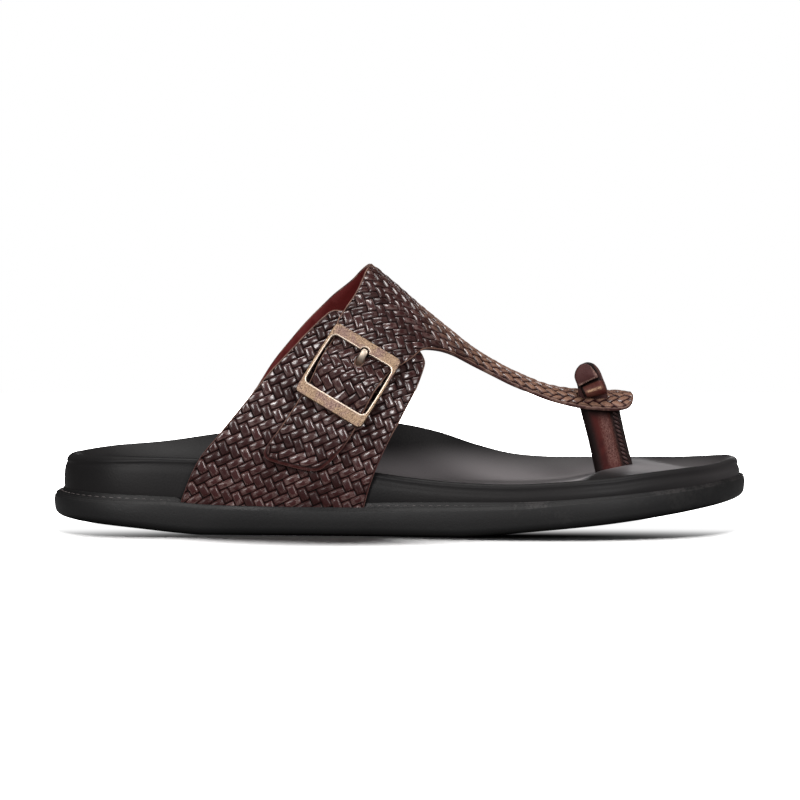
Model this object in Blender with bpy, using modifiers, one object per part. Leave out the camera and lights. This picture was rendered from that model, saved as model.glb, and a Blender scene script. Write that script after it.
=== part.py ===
# Right leather thong sandal: rimmed rubber outsole, contoured footbed, woven T-strap upper, side buckle.
# The toe points to +X, up is +Z and the lateral side of the foot faces -Y. Sizes below are in millimetres.
import math

import bmesh
import bpy
import numpy as np
from mathutils import Matrix, Vector
from mathutils.geometry import delaunay_2d_cdt

MM = 0.001
GAP = 0.3


def table(names, *rows):
    """A short table: its columns by name."""
    return dict(zip(names.split(), np.array(rows, dtype=float).T))


# Plan outline of the outsole, once round from the back of the heel along the lateral side
OUTLINE = table(
    "x y",
    (-140, -1), (-134.5, -19), (-117, -32.5), (-88, -38), (-45, -39.5), (-8, -44), (28, -51.5), (58, -54),
    (88, -48.5), (115, -34.5), (133, -13), (140, 7), (136.5, 25), (120, 41), (92, 51.5), (62, 54),
    (28, 47.5), (-8, 38.5), (-48, 35.5), (-88, 36.5), (-117, 32), (-134.5, 17.5),
)  # fmt: skip
SIDE_STEPS = 38  # points along each side of the outline

# Outsole: the underside at its edge, the rim's top at its outer edge and at the footbed, and the rim's width
SOLE = table(
    "x bottom rim_outer rim_inner rim_width",
    (-140, 5.6, 14.2, 17.0, 4.2),
    (-130, 4.4, 13.4, 16.4, 4.2),
    (-118, 3.4, 12.8, 16.0, 4.2),
    (-104, 2.2, 12.6, 15.6, 4.2),
    (-90, 0.8, 12.3, 15.0, 4.2),
    (-80, 0.0, 11.4, 14.2, 4.2),
    (-55, 0.0, 10.5, 13.4, 4.2),
    (-16, 0.0, 10.3, 13.4, 4.2),
    (22, 0.0, 11.2, 14.0, 3.9),
    (34, 0.8, 11.6, 14.1, 3.7),
    (50, 2.3, 12.3, 14.4, 3.4),
    (66, 3.6, 13.7, 15.1, 3.1),
    (82, 5.0, 15.0, 16.2, 2.9),
    (100, 7.0, 16.5, 17.6, 2.7),
    (118, 9.2, 18.2, 19.1, 2.6),
    (132, 10.9, 19.8, 20.5, 2.5),
    (140, 12.2, 20.6, 21.1, 2.4),
)
RECESS = 2.2  # depth of the outsole's bed for the footbed
BOTTOM_ROUND = 3.4  # the lower edge of the outsole's side is rounded over this width
BOTTOM_RISE = 3.6  # and this height
TREAD_STEP = 0.15  # the tread stands this much under the start of the round
TREAD_INSET = 4.6
ROUND_STEPS = 3
RIM_LIP = 0.7  # from the top of the outsole's side to the rim
# The rim's section, outer edge to inner: share of its width, and height over its slope
RIM_SECTION = table(
    "share lift",
    (0.10, 0.25), (0.24, 0.45), (0.34, 0.05), (0.46, 0.40), (0.58, -0.35), (0.74, -0.35), (0.84, 0.25),
)  # fmt: skip

# Footbed: the rim's height on both sides, the floor of the cup, and how far the cup's walls reach in
BED = table(
    "x rim_lateral rim_medial floor reach_lateral reach_medial",
    (-137, 30.3, 30.3, 27.0, 17, 17),
    (-122, 31.0, 31.2, 24.6, 17, 17),
    (-100, 30.8, 32.3, 22.8, 17, 18),
    (-74, 30.2, 35.9, 22.0, 17, 22),
    (-50, 29.2, 39.7, 21.6, 17, 26),
    (-25, 27.2, 41.8, 21.2, 17, 28),
    (0, 23.6, 40.0, 19.8, 16, 28),
    (14, 22.2, 36.6, 18.6, 15, 26),
    (29, 21.4, 31.5, 17.7, 14, 23),
    (44, 21.2, 27.4, 17.3, 14, 18),
    (60, 21.9, 25.7, 17.8, 14, 15),
    (74, 22.8, 25.5, 19.4, 13, 13),
    (86, 23.6, 25.6, 22.4, 12, 12),
    (96, 24.8, 25.7, 25.1, 12, 12),
    (106, 25.7, 25.9, 24.4, 12, 12),
    (118, 26.5, 26.3, 23.3, 12, 12),
    (128, 27.0, 27.1, 23.6, 12, 12),
    (138, 28.3, 28.3, 25.0, 12, 12),
)
BED_CHAMFER = 0.5  # at the footbed's lower edge
WALL_LEAN = 0.05  # the footbed's wall leans in by this share of its height
WALL_SECTION = table("share belly drop", (0.35, 0.25, 0.77), (0.75, 0.1, 1.65))  # up the wall, out and down
RIM_ROLL = 1.9  # from the wall to the crest of the footbed's rolled rim
ROLL_ANGLES = (15, 50, 90)
CUP_SHARES = (0.06, 0.14, 0.25, 0.40, 0.60, 0.80, 1.0)  # rings of the cup, from its rim to its middle line
TOE_SKEW = 0.42  # the toe-grip ridge runs back on the lateral side by this slope
SPINE_ENDS = (-98.0, 100.0)

# The form of the foot over which the upper is lasted, as sections across X: ridge and front half widths
LAST = table(
    "x top ridge_y front_lateral front_medial",
    (-95, 131, 0.0, 46, 36),
    (-60, 127, 1.5, 46, 35),
    (-35, 119, 2.5, 46, 34),
    (-20, 112, 3.5, 46, 33),
    (-12, 107.2, 4.5, 46, 33),
    (0, 97.6, 6.0, 45, 33),
    (10, 88.8, 7.5, 44, 33),
    (20, 80.7, 9.3, 42, 33),
    (29, 73.5, 11.5, 40, 33),
    (40, 66.6, 14.2, 38, 33),
    (50, 61.6, 16.4, 37, 33),
    (61, 57.4, 18.6, 37, 33),
    (72, 55.6, 20.6, 37, 33),
    (84, 55.2, 21.6, 37, 33),
    (98, 54.8, 22.0, 37, 33),
)
SECTION_POWER = 2.25  # fullness of the last's sections
FRONT_BLEND = (-14.0, 30.0)  # where the half widths pass from the sole's outline to the table
UPPER_INSET = 1.4  # the upper's outer face stands this far in from the outsole's edge
CHANNEL_DEPTH = 0.9  # the upper's lower edge goes this deep into the outsole's rim
CHANNEL_REACH = 5.4  # the channel runs this far in from the outsole's edge
CHANNEL_TOP = 9.0
CHANNEL_POINTS = 13
CHANNELS = (("lateral", -89.0, -14.2), ("medial", -88.0, -14.4))  # side, heel end and toe end

LEATHER = 2.2  # thickness of the woven leather, its raised strips included
RELIEF = 0.4  # height of the strips at their middle over their crossings
STRIP = 3.2  # width of a strip
WEAVE_ANGLE = 23.0  # degrees from +X to the weft on the lateral side
QUARTER_DEPTH = LEATHER + GAP  # the quarter lies under the main piece
SHEET_SPACING = 6.0
SHEET_STRETCH = np.array([1.0, 1.1])  # a degree round the last is about 1.1 mm
EDGE_SPACING = 2.8
VIEW_DISTANCE = 1600.0  # the edges below are as seen from this far away on the lateral side
VIEW_SLOPE = 0.087  # and from this much above, by tangent

# Edges of the lateral quarter as (x, z) in that view, None for the lower edge
QUARTER_BACK = (
    (-90, None), (-83.5, 30), (-73.7, 41.8), (-64, 53), (-55, 64.2), (-45, 75), (-38, 82.3), (-31, 88.8),
)  # fmt: skip
QUARTER_TOP = ((-28.5, 90.6), (-25.5, 91.2), (-18, 89.5), (-8, 84.5), (3, 78), (7.6, 74.8))
QUARTER_FRONT = ((9.6, 72.0), (10.1, 68.4), (6.6, 59.5), (0.6, 48.6), (-4.7, 39.2), (-11.2, 25), (-16, None))

# Edges of the main piece as (side, x, z), or as ("over", x, y) on its top
MAIN_BACK = (
    ("medial", -85, None), ("medial", -78.5, 25), ("medial", -69, 38), ("medial", -60.5, 50.5),
    ("medial", -51.4, 65.3), ("medial", -42.0, 77.2), ("medial", -28.6, 91.6), ("medial", -17.8, 101.5),
    ("over", -12, 4.5),
    ("lateral", -16.5, 100.6), ("lateral", -25.3, 87.6),
)  # fmt: skip
TAB_LEFT = (("lateral", -44.5, 50.6), ("lateral", -48.7, 44.3), ("lateral", -53.2, 38.2))
TAB_END = (
    ("lateral", -55.4, 34.6), ("lateral", -55.0, 32.0), ("lateral", -51.6, 30.3), ("lateral", -46, 28.7),
    ("lateral", -40.5, 27.4), ("lateral", -36, 26.7), ("lateral", -32.6, 27.4), ("lateral", -28.4, 30.8),
)  # fmt: skip
TAB_RIGHT = (("lateral", -23.4, 36.6), ("lateral", -19.4, 42.6))
MAIN_NOTCH = (("lateral", 0.8, 69.7), ("lateral", 5.2, 72.4), ("lateral", 9.6, 75.3))
TSTRAP_LATERAL = (
    ("lateral", 13.5, 75.2), ("lateral", 18.5, 74.0), ("lateral", 24.6, 71.2), ("lateral", 32.3, 66.8),
    ("lateral", 39.2, 63.1), ("lateral", 45.3, 59.9), ("lateral", 53.8, 56.2), ("lateral", 63.7, 52.5),
    ("lateral", 73.3, 50.2), ("lateral", 81.4, 49.4), ("lateral", 88.2, 49.2),
)  # fmt: skip
TSTRAP_TIP = (
    ("over", 92.2, 1.6), ("over", 94.2, 5.4), ("over", 94.8, 12), ("over", 94.0, 18.2), ("over", 91.2, 21.6),
)  # fmt: skip
TSTRAP_MEDIAL = (
    ("over", 88, 22.6), ("over", 76, 22.4), ("over", 62, 21.6), ("over", 50, 20.8), ("over", 40, 20.8),
    ("over", 31, 22.6), ("over", 22.5, 25.8),
)  # fmt: skip
MEDIAL_FRONT = (
    ("medial", 13.5, 74.2), ("medial", 7.0, 71.2), ("medial", 2.4, 65.4), ("medial", -1.4, 57.6),
    ("medial", -6.6, 45), ("medial", -11.6, 29), ("medial", -15.5, None),
)  # fmt: skip

# Buckle, in its own plane: across the strap, along it and out of it
BUCKLE_CENTRE = (-20.5, 63.3)  # x and z
BUCKLE_SLANT = 30.5  # degrees that the strap leans back from the vertical
FRAME_WIDTH = 30.2
FRAME_LENGTH = 31.8
TOP_BAR = 4.6
BOTTOM_BAR = 5.1
RAIL = 1.25
WINDOW_TOP = FRAME_LENGTH / 2 - TOP_BAR
WINDOW_LOW = BOTTOM_BAR - FRAME_LENGTH / 2
FRAME_THICKNESS = 2.4
FRAME_CORNER = 1.5
FRAME_LIFT = -0.1  # underside of the frame from the strap's outer face at the frame's centre
FRAME_BEVEL = 0.4
WINDOW_CORNER = 0.8
NOTCH = 1.9  # radius of the prong's rest in the top bar
PRONG_SHIFT = 0.6
HOLE_HEIGHT = 7.2  # the tab's hole for the prong, up the strap from the centre bar
PRONG_WIDTH = 1.9
PRONG_THICKNESS = 0.8
PRONG_PLAY = 0.2  # between the prong's hook and the centre bar
PRONG_HOOK = (185, 30)  # degrees where the hook starts and ends
PRONG_HOLE = (3.3, 4.5)  # width and length
BAR_RADIUS = 0.75
BAR_HEIGHT = BAR_RADIUS + GAP - QUARTER_DEPTH  # the centre bar rests on the quarter
# The prong past its hook, along the strap and out of it, from under the tab to the notch
PRONG_PATH = table(
    "along out",
    (3.0, -1.35), (4.5, -1.75), (5.6, -1.65), (6.6, -0.9), (7.6, 0.2), (8.6, 1.0),
    (WINDOW_TOP - 1.4, 1.5), (WINDOW_TOP, 1.7), (WINDOW_TOP + 1.15, 1.7),
)  # fmt: skip
TAB_HALF_WIDTH = 13.2
TAB_LOW_WIDTHS = (-12.0, 12.6)  # its two sides at the bottom bar
TAB_BULGE = 2.8  # how far the tab rises over the centre bar
BULGE_REACH = 10.4
BULGE_ACROSS = (-9.4, -6.1, -2.8, 0.6, 4.0, 7.3, 10.4)  # where the bulge takes closer points

# Toe post and the knot on its head: a strip that comes up through the strap's slit and folds over a roll
POST_FOOT = (87.5, 9.4)
POST_HEAD = (80.7, 9.4)
POST_LENGTH = 15.2
POST_WIDTH = 7.0
POST_SINK = 2.5  # the post goes this deep into the footbed
POCKET_TOP = 34.0
# Half of the post's section, heel end to toe end, as shares of its length and width
POST_SECTION = table(
    "along across",
    (-0.5, 0.0), (-0.44, 0.30), (-0.28, 0.47), (-0.05, 0.5), (0.16, 0.38), (0.30, 0.20), (0.5, 0.17),
)  # fmt: skip
SLIT = (78.2, 7.6, 11.6, 4.0)  # x, y, length and width of the slit in the strap
KNOT_FOOT = (78.2, 8.1)  # where the strip passes the slit
KNOT_LEAN = 12.0  # degrees that the knot leans back
STRIP_WALL = 1.9
# The strip's middle line, out towards the lateral side and up from the slit, and its reach to heel and toe
STRIP_PATH = table(
    "out up heel toe",
    (0.0, -3.8, 4.0, 4.0),
    (0.0, 1.2, 4.0, 4.0),
    (0.0, 2.7, 5.4, 6.4),
    (0.0, 4.6, 5.7, 6.2),
    (0.1, 7.6, 5.9, 4.6),
    (1.3, 10.2, 5.0, 2.9),
    (3.8, 11.7, 3.4, 1.5),
    (6.7, 11.1, 4.5, 1.8),
    (8.8, 8.8, 5.4, 3.2),
    (9.8, 6.2, 4.6, 4.8),
)
ROLL_RADIUS = 3.6
ROLL_LENGTH = 10.2


def smooth(rows, column, x):
    """A column of a table as a smooth curve over its x, held at both ends."""
    xs, ys = rows["x"], rows[column]
    x = np.clip(np.asarray(x, dtype=float), xs[0], xs[-1])
    slopes = np.gradient(ys, xs)
    k = np.clip(np.searchsorted(xs, x) - 1, 0, len(xs) - 2)
    step = xs[k + 1] - xs[k]
    t = (x - xs[k]) / step
    low = (1 + 2 * t) * (1 - t) ** 2 * ys[k] + t * (1 - t) ** 2 * step * slopes[k]
    high = t * t * (3 - 2 * t) * ys[k + 1] + t * t * (t - 1) * step * slopes[k + 1]
    return low + high


def ease(t):
    """0 to 1 with soft ends."""
    t = np.clip(t, 0.0, 1.0)
    return t * t * (3 - 2 * t)


def through(points, spacing, closed=False):
    """Points along a smooth curve through these, about this far apart. An open curve keeps both its ends."""
    points = np.array(points, dtype=float)
    count = len(points)
    dense = []
    for k in range(count if closed else count - 1):
        around = [(k + j) % count if closed else min(max(k + j, 0), count - 1) for j in (-1, 0, 1, 2)]
        a, b, c, d = points[around]
        bend, twist = 2 * a - 5 * b + 4 * c - d, 3 * b - a - 3 * c + d
        for t in np.arange(0, 1, 0.05):
            dense.append(b + 0.5 * ((c - a) * t + bend * t**2 + twist * t**3))
    dense.append(points[0] if closed else points[-1])
    return along(np.array(dense), spacing=spacing)


def along(line, spacing=None, steps=None):
    """The same line with even steps."""
    length = np.concatenate([[0], np.cumsum(np.linalg.norm(np.diff(line, axis=0), axis=1))])
    steps = steps or max(1, round(length[-1] / spacing))
    at = np.linspace(0, length[-1], steps + 1)
    return np.column_stack([np.interp(at, length, line[:, k]) for k in range(line.shape[1])])


def sole_sides():
    """The outline's two sides from heel to toe, with as many points each."""
    ring = through(np.column_stack([OUTLINE["x"], OUTLINE["y"]]), 0.8, closed=True)[:-1]
    heel, toe = ring[:, 0].argmin(), ring[:, 0].argmax()
    ring = np.roll(ring, -heel, axis=0)
    toe = (toe - heel) % len(ring)
    lateral = along(ring[: toe + 1], steps=SIDE_STEPS)
    medial = along(np.vstack([ring[toe:], ring[:1]])[::-1], steps=SIDE_STEPS)
    return lateral, medial


LATERAL, MEDIAL = sole_sides()
RING = np.vstack([LATERAL, MEDIAL[-2:0:-1]])
RING_OUT = np.column_stack(
    [
        np.roll(RING[:, 1], -1) - np.roll(RING[:, 1], 1),
        np.roll(RING[:, 0], 1) - np.roll(RING[:, 0], -1),
    ]
)
RING_OUT /= np.linalg.norm(RING_OUT, axis=1)[:, None]
MEDIAL_SHARE = ease((RING[:, 1] + 14) / 28)  # 0 on the lateral side, 1 on the medial one


def sole_edge(x, side):
    """How far the outsole's outline is from the middle plane at x."""
    line = LATERAL if side == "lateral" else MEDIAL
    return np.abs(np.interp(x, line[:, 0], line[:, 1]))


def inset(distance):
    """The outline moved in by this much, as (x, y) points."""
    return RING - RING_OUT * np.reshape(distance, (-1, 1))


def spine_points():
    """For each outline point, the point of the footbed's middle line that it faces."""
    middle = (LATERAL + MEDIAL) / 2
    middle[:, 0] = np.clip(middle[:, 0], *SPINE_ENDS)
    middle[:, 1] = np.interp(middle[:, 0], ((LATERAL + MEDIAL) / 2)[:, 0], ((LATERAL + MEDIAL) / 2)[:, 1])
    return np.vstack([middle, middle[-2:0:-1]])


def bed_floor(x, y):
    """Height of the footbed's floor, its toe-grip ridge running back on the lateral side."""
    ahead = ease((x - 55) / 30)
    return smooth(BED, "floor", x + ahead * TOE_SKEW * np.maximum(0.0, 12 - y))


def clear_scene():
    for item in list(bpy.data.objects):
        bpy.data.objects.remove(item)


def collection(name):
    made = bpy.data.collections.new(name)
    bpy.context.scene.collection.children.link(made)
    return made


def material(name, color, roughness, metallic=0.0):
    made = bpy.data.materials.new(name)
    made.use_nodes = True
    shader = made.node_tree.nodes["Principled BSDF"]
    shader.inputs["Base Color"].default_value = (*color, 1)
    shader.inputs["Roughness"].default_value = roughness
    shader.inputs["Metallic"].default_value = metallic
    return made


def mesh_object(name, verts, faces, group, look=None, sharp=40):
    """A mesh object from millimetre points, its doubles merged and its faces turned outward."""
    mesh = bpy.data.meshes.new(name)
    mesh.from_pydata([Vector(v) * MM for v in verts], [], [tuple(int(i) for i in f) for f in faces])
    work = bmesh.new()
    work.from_mesh(mesh)
    bmesh.ops.remove_doubles(work, verts=work.verts, dist=1e-3 * MM)
    bmesh.ops.recalc_face_normals(work, faces=work.faces)
    work.to_mesh(mesh)
    work.free()
    mesh.shade_smooth()
    mesh.set_sharp_from_angle(angle=math.radians(sharp))
    made = bpy.data.objects.new(name, mesh)
    if look:
        mesh.materials.append(look)
    group.objects.link(made)
    return made


def band(first, second):
    """Faces between two closed rings of equal length, given their first indices and count."""
    start, other, count = first, second[0], second[1]
    return [(start + i, start + (i + 1) % count, other + (i + 1) % count, other + i) for i in range(count)]


def across(start):
    """Faces that close a ring of the sole's outline with strips from side to side."""
    count = len(RING)
    strips = [(i, i + 1, (count - i - 1) % count, (count - i) % count) for i in range(SIDE_STEPS)]
    return [tuple(start + k for k in dict.fromkeys(strip)) for strip in strips]


def rings_object(name, rings, group, look, cap_last=True):
    """A solid from rings over the sole's outline. The first is closed by strips, the last too if asked."""
    count = len(RING)
    verts = [p for ring in rings for p in ring]
    faces = across(0)
    for k in range(len(rings) - 1):
        faces += band(k * count, ((k + 1) * count, count))
    if cap_last:
        faces += across((len(rings) - 1) * count)
    return mesh_object(name, verts, faces, group, look)


def level(points, heights):
    return np.column_stack([points, heights])


def make_outsole(group, look):
    x = RING[:, 0]
    outer, inner, width = (smooth(SOLE, c, x) for c in ("rim_outer", "rim_inner", "rim_width"))
    bottom = np.maximum(0.0, smooth(SOLE, "bottom", x))
    rings = [level(inset(TREAD_INSET), bottom)]
    for turn in np.linspace(0, math.pi / 2, ROUND_STEPS + 1):
        rise = TREAD_STEP + BOTTOM_RISE * (1 - math.cos(turn))
        rings.append(level(inset(BOTTOM_ROUND * (1 - math.sin(turn))), bottom + rise))
    rings.append(level(inset(0), outer - RIM_LIP))
    bed = width - GAP  # its wall stands this far in
    for share, lift in zip(RIM_SECTION["share"], RIM_SECTION["lift"]):
        rings.append(level(inset(bed * share), outer + (inner - outer) * share + lift))
    rings.append(level(inset(bed), inner))
    rings.append(level(inset(bed), inner - RECESS))
    return rings_object("outsole", rings, group, look)


def make_footbed(group, look):
    x = RING[:, 0]
    inner, width = smooth(SOLE, "rim_inner", x), smooth(SOLE, "rim_width", x)
    rim = smooth(BED, "rim_lateral", x) * (1 - MEDIAL_SHARE) + smooth(BED, "rim_medial", x) * MEDIAL_SHARE
    reach = smooth(BED, "reach_lateral", x) * (1 - MEDIAL_SHARE)
    reach += smooth(BED, "reach_medial", x) * MEDIAL_SHARE
    low, tall = inner - RECESS + GAP, rim - inner
    rings = [level(inset(width + BED_CHAMFER), low), level(inset(width), low + BED_CHAMFER)]
    for share, belly, drop in zip(*(WALL_SECTION[name] for name in ("share", "belly", "drop"))):
        rings.append(level(inset(width + WALL_LEAN * share * tall - belly), inner + share * tall - drop))
    wall = width + WALL_LEAN * tall
    for turn in np.radians(ROLL_ANGLES):
        line = inset(wall + RIM_ROLL * (1 - math.cos(turn)))
        rings.append(level(line, rim - RIM_ROLL * (1 - math.sin(turn))))
    crest = inset(wall + RIM_ROLL)
    spine = spine_points()
    for share in CUP_SHARES:
        points = crest + (spine - crest) * share
        away = np.linalg.norm(points - crest, axis=1)
        rise = np.clip(1 - away / reach, 0, 1) ** 2
        floor = bed_floor(points[:, 0], points[:, 1])
        rings.append(level(points, floor + (rim - floor) * rise))
    return rings_object("footbed", rings, group, look, cap_last=False)


def last_point(x, t):
    """A point of the upper's outermost face: x along the foot, t in degrees, -90 (lateral) over 0 to 90."""
    x, t = np.asarray(x, dtype=float), np.asarray(t, dtype=float)
    ridge, top = smooth(LAST, "ridge_y", x), smooth(LAST, "top", x)
    base = smooth(SOLE, "rim_outer", x) - CHANNEL_DEPTH + GAP
    blend = ease((x - FRONT_BLEND[0]) / (FRONT_BLEND[1] - FRONT_BLEND[0]))
    lateral = sole_edge(x, "lateral") - UPPER_INSET + QUARTER_DEPTH + ridge
    medial = sole_edge(x, "medial") - UPPER_INSET - ridge
    lateral = lateral * (1 - blend) + smooth(LAST, "front_lateral", x) * blend
    medial = medial * (1 - blend) + smooth(LAST, "front_medial", x) * blend
    turn = np.radians(np.clip(t, -90, 90))
    power = 2 / SECTION_POWER
    out = np.abs(np.sin(turn)) ** power
    y = ridge + np.where(turn < 0, -lateral * out, medial * out)
    z = base + (top - base) * np.abs(np.cos(turn)) ** power
    return np.stack([x, y, z], axis=-1)


def last_normal(x, t):
    """The outward direction there."""
    x, t = np.asarray(x, dtype=float), np.asarray(t, dtype=float)
    ahead = last_point(x + 0.4, t) - last_point(x - 0.4, t)
    over = last_point(x, np.minimum(t + 0.8, 90)) - last_point(x, np.maximum(t - 0.8, -90))
    out = np.cross(ahead, over)
    return out / np.linalg.norm(out, axis=-1, keepdims=True)


def from_side(side, x, z, depth=0.0, seen=False):
    """(x, t) of the point this deep under the outer face at (x, z), or of the one that is seen there."""
    if z is None:
        t = -90.0 if side == "lateral" else 90.0
        return (x * (1 + last_point(x, t)[1] / VIEW_DISTANCE), t)
    at_x, at_z = x, z
    for _ in range(6):
        base = last_point(at_x, 90)[2]
        share = np.clip((at_z - base) / (last_point(at_x, 0)[2] - base), 0.0, 1.0)
        t = math.degrees(math.acos(share ** (SECTION_POWER / 2))) * (-1 if side == "lateral" else 1)
        found = last_point(at_x, t) - depth * last_normal(at_x, t)
        scale = 1 + (found[1] - VIEW_SLOPE * found[2]) / VIEW_DISTANCE if seen else 1.0
        at_x += x * scale - found[0]
        at_z += z * scale - found[2]
    return (at_x, t)


def from_above(x, y):
    """(x, t) of the point of the outer face over (x, y)."""
    ridge = last_point(x, 0)[1]
    width = abs(last_point(x, 90 if y > ridge else -90)[1] - ridge)
    turn = math.degrees(math.asin(min(1.0, abs(y - ridge) / width) ** (SECTION_POWER / 2)))
    return (x, turn if y > ridge else -turn)


def edge_point(row):
    kind, x, other = row
    return from_above(x, other) if kind == "over" else from_side(kind, x, other, seen=True)


def buckle_frame_axes():
    """Centre, across (towards the toe), up the strap and out, for the buckle's plane."""
    x, z = BUCKLE_CENTRE
    at = from_side("lateral", x, z)
    centre, out = Vector(last_point(*at)), Vector(last_normal(*at))
    slant = math.radians(BUCKLE_SLANT)
    up = Vector((math.sin(slant), 0, math.cos(slant)))
    up = (up - out * up.dot(out)).normalized()
    return centre, up.cross(out).normalized(), up, out


AXES = buckle_frame_axes()


def buckle_point(across_strap, up_strap):
    """(x, t) on the outer face under a point of the buckle's plane."""
    centre, right, up, _ = AXES
    at = centre + right * across_strap + up * up_strap
    return from_side("lateral", at.x, at.z)


def tab_bulge(points):
    """How far the tab rises over the centre bar at these points."""
    centre, right, up, out = (np.array(a) for a in AXES)
    offset = points - centre
    height = 0.5 + 0.5 * np.cos(np.pi * np.clip(offset @ up / BULGE_REACH, -1, 1))
    near = ease((TAB_HALF_WIDTH + 6 - np.abs(offset @ right)) / 5) * (np.abs(offset @ out) < 12)
    return TAB_BULGE * height * near


def bulge_points():
    """(x, t) of closer points over the tab's bulge."""
    rows = np.linspace(-BULGE_REACH, BULGE_REACH, 9)
    return [buckle_point(across_strap, up_strap) for up_strap in rows for across_strap in BULGE_ACROSS]


def sheet_point(at, depth, bulging):
    """Points of a leather sheet at these (x, t), this deep under the outermost face."""
    points, out = last_point(at[:, 0], at[:, 1]), last_normal(at[:, 0], at[:, 1])
    raised = tab_bulge(points) if bulging else np.zeros(len(points))
    return points + out * (raised - depth)[:, None]


def inside(points, loop):
    """Which points lie in this closed loop."""
    found = np.zeros(len(points), dtype=bool)
    for a, b in zip(loop, np.roll(loop, -1, axis=0)):
        crosses = (a[1] > points[:, 1]) != (b[1] > points[:, 1])
        rise = b[1] - a[1] if b[1] != a[1] else 1.0
        found ^= crosses & (points[:, 0] < a[0] + (points[:, 1] - a[1]) * (b[0] - a[0]) / rise)
    return found


def nearest_edge(points, loop):
    """Distance of each point from this closed loop."""
    best = np.full(len(points), np.inf)
    for a, b in zip(loop, np.roll(loop, -1, axis=0)):
        t = np.clip((points - a) @ (b - a) / max(1e-9, (b - a) @ (b - a)), 0, 1)
        best = np.minimum(best, np.linalg.norm(points - a - t[:, None] * (b - a), axis=1))
    return best


def fill(loops, inner, clearance):
    """A triangulated sheet: the first loop, with the others as holes. Loop points come first, in order."""
    keep = inside(inner, loops[0]) & (nearest_edge(inner, loops[0]) > clearance)
    for hole in loops[1:]:
        keep &= ~inside(inner, hole) & (nearest_edge(inner, hole) > clearance)
    points = np.vstack([*loops, inner[keep]])
    edges, start = [], 0
    for loop in loops:
        edges += [(start + i, start + (i + 1) % len(loop)) for i in range(len(loop))]
        start += len(loop)
    made = delaunay_2d_cdt([Vector(p) for p in points], edges, [], 1, 1e-6)
    place = {k: old[0] for k, old in enumerate(made[3]) if old}
    faces = [tuple(place[i] for i in f) for f in made[2]]
    for hole in loops[1:]:
        centres = np.array([points[list(f)].mean(axis=0) for f in faces])
        faces = [f for f, cut in zip(faces, inside(centres, hole)) if not cut]
    return points, faces, np.flatnonzero(keep)


def grid(loop, step, rows=None):
    """Staggered grid points over a loop's bounds."""
    low, high = loop.min(axis=0), loop.max(axis=0)
    points = []
    for j, v in enumerate(np.arange(low[1], high[1], rows or step)):
        shift = step / 2 if j % 2 else 0.0
        points += [(u + shift, v) for u in np.arange(low[0], high[0], step)]
    return np.array(points)


def flattened(points3, faces):
    """The sheet laid flat with little stretch, in millimetres."""
    mesh = bpy.data.meshes.new("flat")
    mesh.from_pydata([Vector(p) for p in points3], [], faces)
    item = bpy.data.objects.new("flat", mesh)
    bpy.context.scene.collection.objects.link(item)
    bpy.context.view_layer.objects.active = item
    mesh.uv_layers.new(name="flat")
    bpy.ops.object.mode_set(mode="EDIT")
    bpy.ops.mesh.select_all(action="SELECT")
    bpy.ops.uv.unwrap(method="MINIMUM_STRETCH", margin=0)
    bpy.ops.object.mode_set(mode="OBJECT")
    flat = np.zeros((len(points3), 2))
    for loop in mesh.loops:
        flat[loop.vertex_index] = mesh.uv_layers[0].data[loop.index].uv
    bpy.data.objects.remove(item)
    bpy.data.meshes.remove(mesh)
    tri = np.array(faces)
    a, b = points3[tri[:, 1]] - points3[tri[:, 0]], points3[tri[:, 2]] - points3[tri[:, 0]]
    real = np.linalg.norm(np.cross(a, b), axis=1)
    a, b = flat[tri[:, 1]] - flat[tri[:, 0]], flat[tri[:, 2]] - flat[tri[:, 0]]
    signed = a[:, 0] * b[:, 1] - a[:, 1] * b[:, 0]
    return flat * math.sqrt(real.sum() / abs(signed.sum())) * (1 if signed.sum() > 0 else np.array([-1, 1]))


def turned_flat(flat, points3, weight):
    """The flat sheet turned so that, where weight is high, its first axis runs along +X of the shoe."""
    centre = (flat * weight[:, None]).sum(axis=0) / weight.sum()
    middle = (points3 * weight[:, None]).sum(axis=0) / weight.sum()
    slope = ((flat - centre) * ((points3[:, 0] - middle[0]) * weight)[:, None]).sum(axis=0)
    slope_up = ((flat - centre) * ((points3[:, 2] - middle[2]) * weight)[:, None]).sum(axis=0)
    turn = math.atan2(slope[1] - slope_up[0], slope[0] + slope_up[1])
    c, s = math.cos(-turn), math.sin(-turn)
    return (flat - centre) @ np.array([[c, s], [-s, c]])


def weave_points(flat_loop):
    """The weave's lattice over the flat sheet: crossings (low) and the middles of the floats (high)."""
    turn = math.radians(WEAVE_ANGLE)
    weft, warp = np.array([math.cos(turn), math.sin(turn)]), np.array([-math.sin(turn), math.cos(turn)])
    local = np.column_stack([flat_loop @ weft, flat_loop @ warp]) / STRIP
    low, high = np.floor(local.min(axis=0)).astype(int) - 1, np.ceil(local.max(axis=0)).astype(int) + 1
    points, heights = [], []
    for i in range(low[0], high[0]):
        for j in range(low[1], high[1]):
            points.append((i, j))
            heights.append(0.0)
            if (i - j) % 4 == 0:
                points.append((i + 1, j + 0.5))
                heights.append(1.0)
            if (i - j) % 4 == 2:
                points.append((i + 0.5, j))
                heights.append(1.0)
    points = np.array(points, dtype=float) * STRIP
    return points[:, :1] * weft + points[:, 1:] * warp, np.array(heights)


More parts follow.
